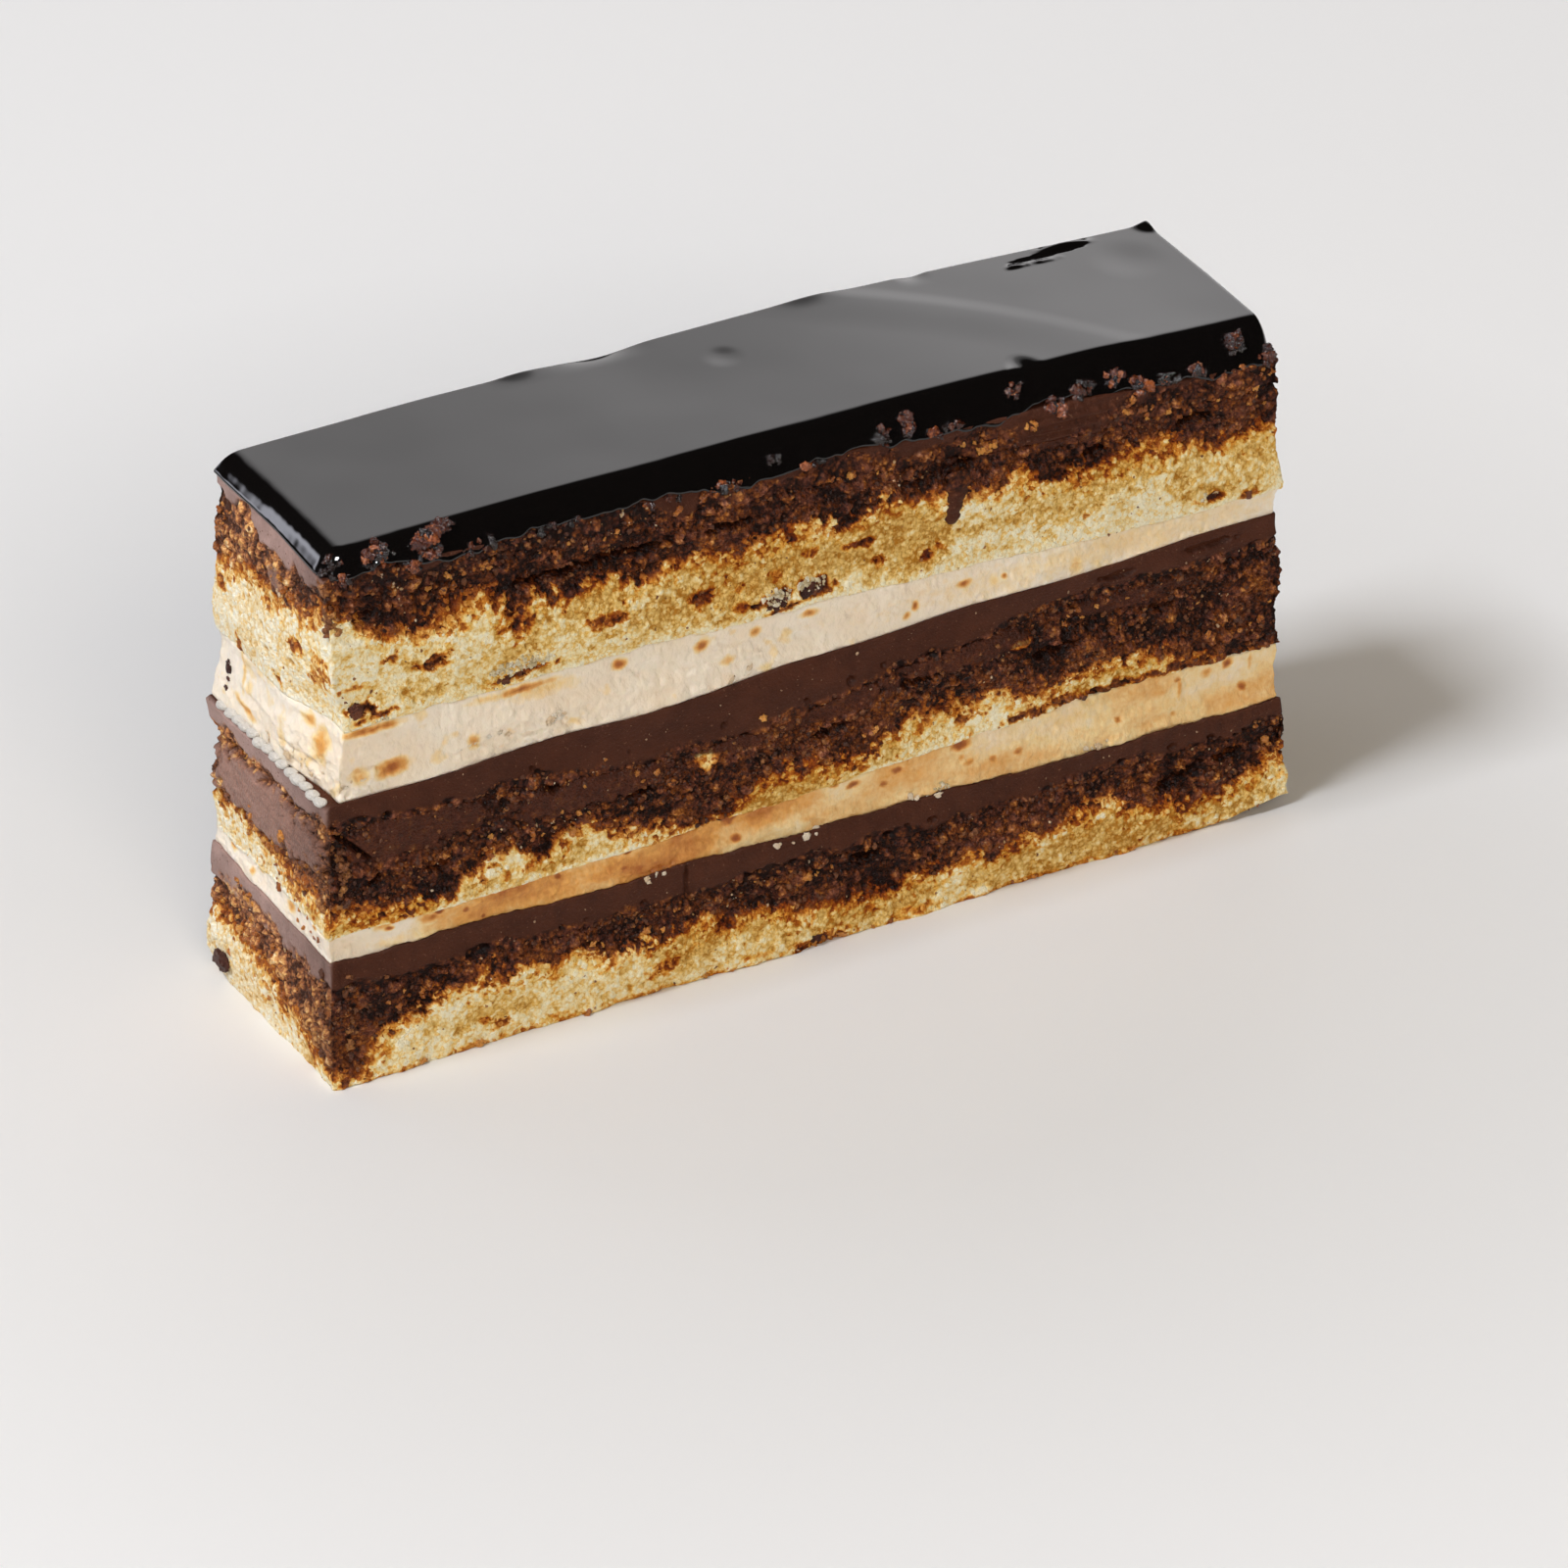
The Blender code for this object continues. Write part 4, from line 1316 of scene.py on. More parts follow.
@dataclass(frozen=True)
class Bits:
    """Loose bits of one kind.

    Attributes:
        name: the piece's name.
        size: smallest and largest radius.
        rough: how lumpy one is.
        seed: sets its shapes and places.
        detail: how finely one is cut; 1 is 20 faces, and each step more has four times as many.
        flat: thickness across the wall, as a share of its width.
        lift: how far its middle stands out, in radii.
        slot: not used.
        skew: above 1, small ones are commoner.
        tilt: how far one leans off the wall.
    """

    name: str
    size: tuple[float, float]
    rough: float
    seed: int
    detail: int = 1
    flat: float = 0.9
    lift: float = 0.25
    slot: str = "sponge"
    skew: float = 2.2
    tilt: float = 0.0

    def set_on(self, tray: Tray, picks: Array, material: bpy.types.Material,
               tones: tuple[float, float] = (0.0, 1.0)) -> None:
        """Set one bit at each picked wall point.

        Args:
            tray: the walls.
            picks: numbers of wall points.
            material: the finish.
            tones: darkest and palest tone.
        """
        rng = np.random.default_rng(self.seed)
        deselect()
        bpy.ops.mesh.primitive_ico_sphere_add(subdivisions=self.detail, radius=1, location=(0, 0, 0))
        seedling = bpy.context.object
        unit = coordinates(seedling)
        faces = np.array([tuple(face.vertices) for face in seedling.data.polygons])
        bpy.data.objects.remove(seedling, do_unlink=True)
        count = len(picks)
        low, high = self.size
        radius = low + (high - low) * rng.random(count) ** self.skew
        out = np.column_stack([tray.face[picks], np.zeros(count)])
        side = np.column_stack([-out[:, 1], out[:, 0], np.zeros(count)])
        up = np.tile((0.0, 0.0, 1.0), (count, 1))
        turn = rng.uniform(0, 2 * math.pi, count)[:, None]
        first = side * np.cos(turn) + up * np.sin(turn)
        wide, tall = rng.uniform(0.7, 1.4, (2, count, 1))
        thick = self.flat * rng.uniform(0.8, 1.2, (count, 1))
        leaning = out + self.tilt * rng.normal(size=(count, 3))
        leaning /= np.linalg.norm(leaning, axis=1)[:, None]
        second = np.cross(leaning, first)
        second /= np.linalg.norm(second, axis=1)[:, None]
        first = np.cross(second, leaning)
        offset = rng.uniform(0, 500, (count, 1, 3))
        ball = np.broadcast_to(unit, (count, *unit.shape))
        lumps = clouds((ball * 1.5 + offset).reshape(-1, 3), 1.0, self.seed, 3, 0.7).reshape(count, -1, 1)
        ball = ball * np.maximum(1 + self.rough * lumps, 0.3)
        shape = (ball[..., :1] * (first * wide)[:, None] + ball[..., 1:2] * (second * tall)[:, None]
                 + ball[..., 2:] * (leaning * thick)[:, None])
        middle = tray.spot[picks] + out * (self.lift * radius * self.flat)[:, None]
        points = middle[:, None] + shape * radius[:, None, None]
        points[..., 2] = np.maximum(points[..., 2], 0.0)
        mesh = bpy.data.meshes.new(self.name)
        corners = (faces[None] + (np.arange(count) * len(unit))[:, None, None]).reshape(-1, 3)
        mesh.vertices.add(count * len(unit))
        mesh.loops.add(corners.size)
        mesh.polygons.add(len(corners))
        mesh.loops.foreach_set("vertex_index", corners.ravel().astype(np.int32))
        mesh.polygons.foreach_set("loop_start", np.arange(0, corners.size, 3, dtype=np.int32))
        mesh.update(calc_edges=True)
        piece = bpy.data.objects.new(self.name, mesh)
        bpy.context.scene.collection.objects.link(piece)
        put(piece, points.reshape(-1, 3))
        mark(piece, "tone", np.repeat(rng.uniform(*tones, count), len(unit)))
        piece.data.materials.append(material)
        smooth_faces(piece)
        hand_over(piece)


@dataclass(frozen=True)
class CreamTeeth:
    """The row of small cream lobes, like twisted cord, that leans on the ganache ledge."""

    count: int = 14
    first: float = 0.6
    pitch: float = 1.76
    height: float = 34.35
    out: float = -1.0
    half_length: float = 1.05
    half_width: float = 0.6

    def shape(self, material: bpy.types.Material) -> None:
        """Model the lobes."""
        rng = np.random.default_rng(404)
        axis = np.array((0.25, -1.0, 0.18))
        axis /= np.linalg.norm(axis)
        across = np.cross(axis, (0.0, 0.0, 1.0))
        across /= np.linalg.norm(across)
        upward = np.cross(across, axis)
        deselect()
        lobes = []
        for step in range(self.count):
            bpy.ops.mesh.primitive_uv_sphere_add(segments=20, ring_count=14, radius=1, location=(0, 0, 0))
            lobe = bpy.context.object
            unit = coordinates(lobe)
            size = rng.uniform(0.88, 1.1)
            local = unit * (self.half_length * size, self.half_width * size, self.half_width * size * 0.95)
            local *= 1 + 0.16 * clouds(unit + 7.0 * step, 0.9, 405)[:, None]
            turned = local[:, :1] * axis + local[:, 1:2] * across + local[:, 2:] * upward
            depth = self.first + self.pitch * step + rng.uniform(-0.2, 0.2)
            out = self.out + rng.uniform(-0.12, 0.12)
            turned += (out, depth, self.height + rng.uniform(-0.2, 0.2))
            put(lobe, turned)
            lobes.append(lobe)
        for lobe in lobes:
            lobe.select_set(True)
        bpy.context.view_layer.objects.active = lobes[0]
        bpy.ops.object.join()
        piece = bpy.context.object
        piece.name = piece.data.name = "cream_teeth"
        mark(piece, "tone", np.full(len(piece.data.vertices), 0.5))
        piece.data.materials.append(material)
        smooth_faces(piece)
        hand_over(piece)


@dataclass(frozen=True)
class Drip:
    """A short thick run of ganache down the cut."""

    run: float = 74.9
    top: float = 53.6
    bottom: float = 47.2
    half_width: float = 1.1
    stand: float = 0.42

    def shape(self, material: bpy.types.Material) -> None:
        """Model the drip."""
        deselect()
        bpy.ops.mesh.primitive_uv_sphere_add(segments=32, ring_count=40, radius=1, location=(0, 0, 0))
        piece = bpy.context.object
        piece.name = piece.data.name = "ganache_drip"
        unit = coordinates(piece)
        middle, half = (self.top + self.bottom) / 2, (self.top - self.bottom) / 2
        rise = np.sign(unit[:, 2]) * np.abs(unit[:, 2]) ** 0.8
        girth = (1.0 + 0.9 * smooth(rise, -0.1, 1.0)) / np.maximum(np.hypot(unit[:, 0], unit[:, 1]), 0.2) ** 0.4
        ridges = 1 + 0.12 * np.sin(16.0 * rise + 2.0 * clouds(unit, 0.9, 62, 2)) + 0.12 * clouds(unit, 0.7, 61, 3)
        x = self.run + self.half_width * unit[:, 0] * girth * ridges + 0.35 * np.sin(2.2 * rise)
        foot_out = -SHAPE.flare * (1 - middle / SHAPE.height)
        y = foot_out + self.stand * unit[:, 1] * 1.6 * ridges
        put(piece, np.column_stack([x, y, middle + half * rise]))
        for name, value in (("crumbed", smooth(rise, 0.1, 0.6)), ("grain", 0.3), ("painted_sheen", 0.0)):
            mark(piece, name, np.full(len(unit), value))
        piece.data.materials.append(material)
        smooth_faces(piece)
        hand_over(piece)


# --- studio -----------------------------------------------------------------------------------
@dataclass(frozen=True)
class Softbox:
    """A rectangular lamp that looks at the cake.

    Attributes:
        name: the lamp's name.
        azimuth: degrees from +Y towards +X.
        elevation: degrees above the floor.
        distance: metres from the cake.
        size: width and height in metres.
        power: watts.
        colour: its colour.
        mirrored: whether gloss shows it.
        lights: whether it lights dull surfaces.
        fade: strength at even steps from its right edge to its left, as the cake sees it.
        climb: strength at even steps from its foot to its head.
        soft: share of its height and width over which its edges fade.
    """

    name: str
    azimuth: float
    elevation: float
    distance: float
    size: tuple[float, float]
    power: float
    colour: Colour = (1.0, 1.0, 1.0)
    mirrored: bool = True
    lights: bool = True
    fade: tuple[float, ...] = ()
    climb: tuple[float, ...] = ()
    soft: float = 0.0

    def shade(self, lamp: bpy.types.Light) -> None:
        """Vary the lamp's strength across its face."""
        lamp.use_nodes = True
        tree = lamp.node_tree
        place = tree.nodes.new("ShaderNodeNewGeometry")
        part = tree.nodes.new("ShaderNodeSeparateXYZ")
        tree.links.new(place.outputs["Parametric"], part.inputs["Vector"])
        edges = tuple((spot, value) for spot, value in
                      ((0.0, 0.0), (self.soft, 1.0), (1.0 - self.soft, 1.0), (1.0, 0.0)))
        across, upward = (tuple((index / max(len(part_) - 1, 1), value) for index, value in enumerate(part_))
                          for part_ in (self.fade, self.climb))
        strength = None
        for axis, stops in (("X", edges), ("Y", upward or edges), ("X", across)):
            band = tree.nodes.new("ShaderNodeValToRGB")
            band.color_ramp.interpolation = "EASE"
            while len(band.color_ramp.elements) < len(stops):
                band.color_ramp.elements.new(1.0)
            for element, (spot, value) in zip(band.color_ramp.elements, stops):
                element.position = spot
                element.color = (value, value, value, 1.0)
            tree.links.new(part.outputs[axis], band.inputs["Fac"])
            if strength is None:
                strength = band.outputs["Color"]
                continue
            product = tree.nodes.new("ShaderNodeMath")
            product.operation = "MULTIPLY"
            tree.links.new(strength, product.inputs[0])
            tree.links.new(band.outputs["Color"], product.inputs[1])
            strength = product.outputs[0]
        tree.links.new(strength, tree.nodes["Emission"].inputs["Strength"])

    def hang(self) -> None:
        """Hang the lamp."""
        lamp = bpy.data.lights.new(self.name, "AREA")
        lamp.shape = "RECTANGLE"
        lamp.size, lamp.size_y = self.size
        lamp.energy = self.power
        lamp.color = self.colour
        if self.fade:
            self.shade(lamp)
        stand = bpy.data.objects.new(self.name, lamp)
        turn, climb = math.radians(self.azimuth), math.radians(self.elevation)
        stand.location = (self.distance * math.cos(climb) * math.sin(turn),
                          self.distance * math.cos(climb) * math.cos(turn),
                          0.03 + self.distance * math.sin(climb))
        stand.rotation_euler = (math.pi / 2 - climb, 0, math.pi - turn)
        stand.visible_camera = False
        stand.visible_glossy = self.mirrored
        stand.visible_diffuse = self.lights
        bpy.context.scene.collection.objects.link(stand)


@dataclass(frozen=True)
class Studio:
    """Floor, lamps and camera."""

    azimuth: float = -29.236
    elevation: float = 31.416
    distance: float = 0.95
    lens: float = 202.5
    aim: tuple[float, float, float] = (-0.0044, -0.0143, 0.0214)
    air: float = 0.025
    lamps: tuple[Softbox, ...] = (
        Softbox("key_lamp", -93.0, 57.0, 3.0, (0.78, 0.78), 61.0, (0.97, 1.0, 1.06)),
        Softbox("spark_lamp", -150.0, 52.0, 2.0, (0.3, 0.3), 44.0, lights=False),
        Softbox("front_lamp", -165.0, 32.0, 3.0, (1.6, 1.2), 31.0, (1.14, 1.0, 0.82), mirrored=False),
        Softbox("top_lamp", -60.0, 84.0, 3.0, (3.0, 3.0), 8.0, (1.2, 1.0, 0.74), mirrored=False),
        Softbox("side_panel", -38.0, 20.5, 1.5, (1.8, 0.34), 8.0, (0.97, 0.98, 1.1), fade=(1.0, 1.0), soft=0.42),
        Softbox("back_panel", 29.24, 27.0, 1.5, (1.25, 1.1), 17.6, (1.0, 0.975, 0.98), lights=False,
                fade=(0.84, 0.78, 0.62, 0.48, 0.36, 0.14), climb=(0.0, 0.78, 0.76, 0.71, 0.62, 0.24, 0.0),
                soft=0.2),
    )

    def set_up(self) -> None:
        """Lay the floor, hang the lamps and place the camera."""
        deselect()
        bpy.ops.mesh.primitive_circle_add(vertices=96, radius=3.0, fill_type="NGON", location=(0, 0, 0))
        floor = bpy.context.object
        floor.name = floor.data.name = "studio_floor"
        floor.data.materials.append(FloorFinish().build())
        for lamp in self.lamps:
            lamp.hang()
        world = bpy.data.worlds.new("studio_air")
        world.use_nodes = True
        world.node_tree.nodes["Background"].inputs["Color"].default_value = (1, 1, 1, 1)
        world.node_tree.nodes["Background"].inputs["Strength"].default_value = self.air
        scene = bpy.context.scene
        scene.world = world
        scene.view_settings.view_transform = "Standard"
        lens = bpy.data.cameras.new("camera")
        lens.lens = self.lens
        lens.sensor_width = 36.0
        lens.clip_start, lens.clip_end = 0.05, 20.0
        camera = bpy.data.objects.new("camera", lens)
        turn, climb = math.radians(self.azimuth), math.radians(self.elevation)
        back = np.array((math.cos(climb) * math.sin(turn), -math.cos(climb) * math.cos(turn), math.sin(climb)))
        camera.location = np.array(self.aim) + back * self.distance
        camera.rotation_euler = (math.pi / 2 - climb, 0, turn)
        scene.collection.objects.link(camera)
        scene.camera = camera


# --- the cake ---------------------------------------------------------------------------------
def proud(left_: float, right_: float, front_: float, back_: float) -> dict[Side, float]:
    """How far a layer's walls stand out, by side."""
    return {Side.LEFT: left_, Side.RIGHT: right_, Side.FRONT: front_, Side.BACK: back_}


TOP_SOAK = Line(((0, 58), (2, 56), (4, 53.8), (7, 52.6), (11, 52.0), (15, 53), (19, 54), (21, 51.5), (23, 51.0),
                 (25, 51.6), (45, 51.2), (47, 50.2), (52, 51.4), (58, 51.6), (66, 52.0), (72, 50.8), (78, 50.6),
                 (84, 50.0), (88, 49.4), (94, 49.2), (98, 49.6), (106, 48.6), (115, 48.3)),
                ((0, 57.5), (2, 55.5), (6, 53.6), (10, 53.6), (16, 53.4), (22, 52.4), (25.4, 51.5)))
MIDDLE_SOAK = Line(((0, 20.5), (8, 20), (13, 19.5), (15, 21.5), (20, 22.5), (24, 21), (27, 22), (31, 22.5),
                    (35, 20.5), (41, 19.6), (46, 19), (48.5, 20), (50, 22.5), (57, 22.5), (62, 21.5), (66, 22.8),
                    (72, 24.2), (78, 24.3), (88, 23.8), (92, 24.6), (98, 24.2), (102, 23.2), (106, 21.8), (110, 20),
                    (115, 20)),
                   ((0, 21), (6, 21), (12, 21.5), (18, 22.5), (25.4, 22)))
BOTTOM_SOAK = Line(((0, 1.2), (2, 2.4), (4, 4.0), (7, 6.0), (12, 7.8), (16, 8.6), (19.5, 7.4), (22, 8), (25, 6.5),
                    (27, 8), (30, 6.5), (36, 6.6), (45, 6.6), (50, 6.2), (55, 5.2), (60, 4.2), (70, 4.4), (80, 5),
                    (84, 6.5), (94, 6.6), (99, 5), (104, 3.8), (109, 4), (113, 5), (115, 6.5)),
                   ((0, 1.6), (3, 3.4), (8, 5.4), (14, 7.0), (20, 7.6), (25.4, 7.2)))


def bottom_layers() -> list[Slab]:
    """The three layers under the middle sponge."""
    bottom = SpongeSlab(
        "bottom_sponge", PLATE, LOWER_GANACHE_FOOT, proud(0.3, 0.5, 0.2, 0.0), 0.15, "sponge",
        soak_line=BOTTOM_SOAK, fringe=1.3, curl=1.6, creamy_foot=0.0, frayed=0.4, seed=1100,
        amber=front((16, 4, 6, 1.6, 0.6), (45, 5, 10, 1.6, 1.0), (64, 3, 8, 2.2, 1.7), (95, 3, 16, 2.6, 1.5))
        + left((3, 2.5, 2.0, 2.0, 0.7)),
        stains=front((37.5, 3, 1.8, 1.0, 0.75), (18.5, 2, 1.0, 0.6, 0.75), (16.5, 3, 0.5, 0.4, 0.7),
                     (30, 0.1, 28, 0.45, 0.5), (88, 0.1, 26, 0.45, 0.5),
                     (32, 6, 1.5, 1.0, 0.7), (58, 0.6, 3.5, 0.9, 0.85), (70, 1.0, 2.5, 0.5, 0.6),
                     (64, 4.4, 5, 1.0, 0.6), (107, 6.2, 4.5, 1.9, 1.0, 0.25), (3.5, 2.2, 2.0, 1.3, 0.6), (64, 2.5, 1.2, 0.8, 0.6),
                     (50, 1.2, 1.6, 0.5, 0.6), (26, 1.0, 1.2, 0.4, 0.5))
        + left((2.6, 2.6, 0.9, 1.8, 0.7), (8.5, 4.0, 0.8, 2.4, 0.7, -0.3), (14, 3.0, 0.6, 0.9, 0.55)),
        cracks=front((63.5, 9.2, 1.8, 0.8), (104, 7.6, 2.6, 0.8, 0.9, 0.2), (109.5, 8.6, 2.0, 0.7, 0.9))
        + strewn(6, 10, 8, (1.0, 2.5), 21))
    ganache = GanacheSlab(
        "lower_ganache", LOWER_GANACHE_FOOT, LOWER_CREAM_FOOT, proud(0.2, -1.0, 0.2, -1.3), 0.0, "ganache",
        crumb_reach=0.9, scored=0.08, seed=1300,
        crumbed=left((17, 12, 6, 1.6, 0.9), (6, 11.6, 3, 1.0, 0.9)) + front((50, 10.8, 5, 0.9, 0.9)),
        pits=front((16, 11.7, 1.2, 0.6, 0.8), (41.2, 13, 0.22, 2.2, 1.0, 0.0))
        + strewn(11, 12.4, 16, (0.2, 0.5), 31, (Side.FRONT, Side.LEFT)))
    cream = CreamSlab(
        "lower_cream", LOWER_CREAM_FOOT, MIDDLE_SPONGE_FOOT, proud(0.0, -0.3, -0.1, -1.3), -0.1, "cream",
        wash=0.55, seed=1400,
        stains=front((45, 16, 6, 1.0, 0.46), (10.5, 17.6, 1.5, 0.6, 0.75),
                     (47, 19, 1.6, 1.2, 0.9), (62, 18.7, 1.0, 0.6, 0.85), (67.5, 18.9, 0.9, 0.7, 0.85),
                     (75.5, 19.8, 1.2, 0.9, 0.9), (76.5, 17.3, 0.9, 0.6, 0.7), (95.5, 17, 0.5, 0.4, 0.75),
                     (103.5, 18.8, 0.35, 1.8, 0.6), (107, 19.8, 0.9, 0.8, 0.6), (112.6, 19.4, 0.3, 1.4, 0.55),
                     (99, 19.5, 2.5, 0.7, 0.45), (57, 16, 2.0, 0.9, 0.5),
                     (70, 16, 2.0, 0.8, 0.45), (19, 16.2, 11, 1.2, 0.5), (30, 17, 6, 0.8, 0.5))
        + strewn(15.5, 20, 14, (0.5, 2.0), 22) + strewn(15.5, 21, 34, (0.3, 0.9), 27, (Side.FRONT, Side.LEFT)),
        tears=front((36, 15, 4, 1), (55, 14.6, 5, 1), (72, 14.6, 4, 1.2), (92, 14.6, 5, 1.0)))
    return [bottom, ganache, cream]


def middle_layers() -> list[Slab]:
    """The middle sponge, its ganache and the cream on it."""
    sponge = SpongeSlab(
        "middle_sponge", MIDDLE_SPONGE_FOOT, MIDDLE_GANACHE_FOOT, proud(0.0, 0.2, 0.0, -1.2), 0.1, "sponge",
        soak_line=MIDDLE_SOAK, fringe=1.3, thick=0.5, seed=1500,
        amber=front((6, 19.3, 7, 0.8, 1.3), (20, 19.5, 9, 1.2, 0.8), (55, 20.5, 8, 2.4, 2.0), (95, 22.5, 8, 1.4, 0.7))
        + left((3, 19.4, 4, 0.7, 1.0)),
        stains=front((6, 19.0, 7, 0.6, 0.46), (97, 21.4, 15, 0.7, 1.0, 0.015), (46.5, 20, 1.6, 1.5, 0.95), (76, 22.8, 1.3, 0.7, 0.9),
                     (63, 20.6, 1.0, 0.5, 0.75), (55, 22.6, 3.0, 0.5, 0.7, 0.2), (22, 20.2, 3, 0.6, 0.5)),
        pale_marks=front((44, 28, 1.1, 2.4, 0.6), (83.5, 30, 1.5, 0.6, 0.5), (54, 29.0, 3, 0.6, 0.4)),
        smears=front((10, 28.6, 9, 2.6, 0.85), (30, 27.5, 10, 2.0, 0.85), (47.5, 29.0, 5.0, 2.0, 0.9),
                     (60, 29.5, 7, 1.8, 0.75), (76, 31.0, 8, 1.6, 0.75), (96, 32.0, 8, 1.0, 0.7))
        + left((13, 27.0, 15, 3.1, 1.0, -0.05)),
        cracks=front((4.5, 23.8, 0.7, 0.6), (25.5, 29, 0.9, 0.5), (1.2, 29.4, 3.0, 0.4, 1.0, -1.0),
                     (60, 26.2, 2.4, 0.6, 0.8, 0.1), (88, 28.0, 2.2, 0.7, 0.8, 0.1), (12, 23.5, 1.5, 0.6, 0.8),
                     (36, 25.2, 1.6, 0.6, 0.7), (70, 29.2, 1.4, 0.6, 0.7), (101, 29.5, 1.8, 0.6, 0.7))
        + strewn(22, 30, 16, (0.8, 3.0), 23))
    ganache = GanacheSlab(
        "middle_ganache", MIDDLE_GANACHE_FOOT, UPPER_CREAM_FOOT, proud(0.55, 0.2, 0.15, -0.7), 0.0, "ganache",
        crumb_reach=0.9, shoulder=0.5, seed=1600,
        pits=front((95, 35.4, 2.2, 0.45, 0.8), (107, 36, 3.0, 0.45, 0.8))
        + strewn(30.5, 32.5, 16, (0.2, 0.5), 33, (Side.FRONT, Side.LEFT)))
    cream = CreamSlab(
        "upper_cream", UPPER_CREAM_FOOT, TOP_SPONGE_FOOT, proud(0.0, 0.0, -0.05, -0.9), -0.1, "cream",
        seed=1700, drawn_in=(1.1, 1.75),
        stains=front((6.8, 36.8, 2.0, 0.9, 0.8), (16.5, 37.3, 0.8, 0.9, 0.6), (34, 41.5, 0.8, 0.6, 0.85),
                     (44, 40.8, 0.9, 0.6, 0.8), (47, 38.3, 0.8, 0.6, 0.5), (50.5, 40.8, 0.6, 0.6, 0.7),
                     (57, 41.3, 1.0, 0.5, 0.7), (70, 38.5, 0.45, 0.6, 0.85), (69, 37.5, 0.5, 0.5, 0.7),
                     (76, 39.6, 0.8, 0.5, 0.8), (81, 39.2, 0.4, 0.3, 0.75), (90, 38, 1.0, 1.4, 0.4),
                     (22, 41.9, 4, 0.45, 0.75), (25, 41.2, 4, 0.9, 0.35), (3.2, 36.8, 1.2, 1.0, 0.5),
                     (4.5, 42.4, 3.0, 0.4, 0.8), (96, 39.0, 30, 2.4, 0.24))
        + left((19, 36.3, 2.2, 0.5, 0.7, 0.2), (3.2, 39.5, 1.2, 2.0, 0.6), (5.5, 41.5, 1.0, 0.7, 0.6),
               (19.5, 40.6, 0.4, 3.0, 0.5, 0.3), (10, 38, 0.8, 2.5, 0.3))
        + strewn(36, 42, 22, (0.4, 1.4), 24),
        tears=front((23, 36.5, 8, 1.4), (45, 39, 14, 1.6, 0.6), (3, 36, 4, 1.6)) + left((5, 36.5, 6, 2.2)))
    return [sponge, ganache, cream]


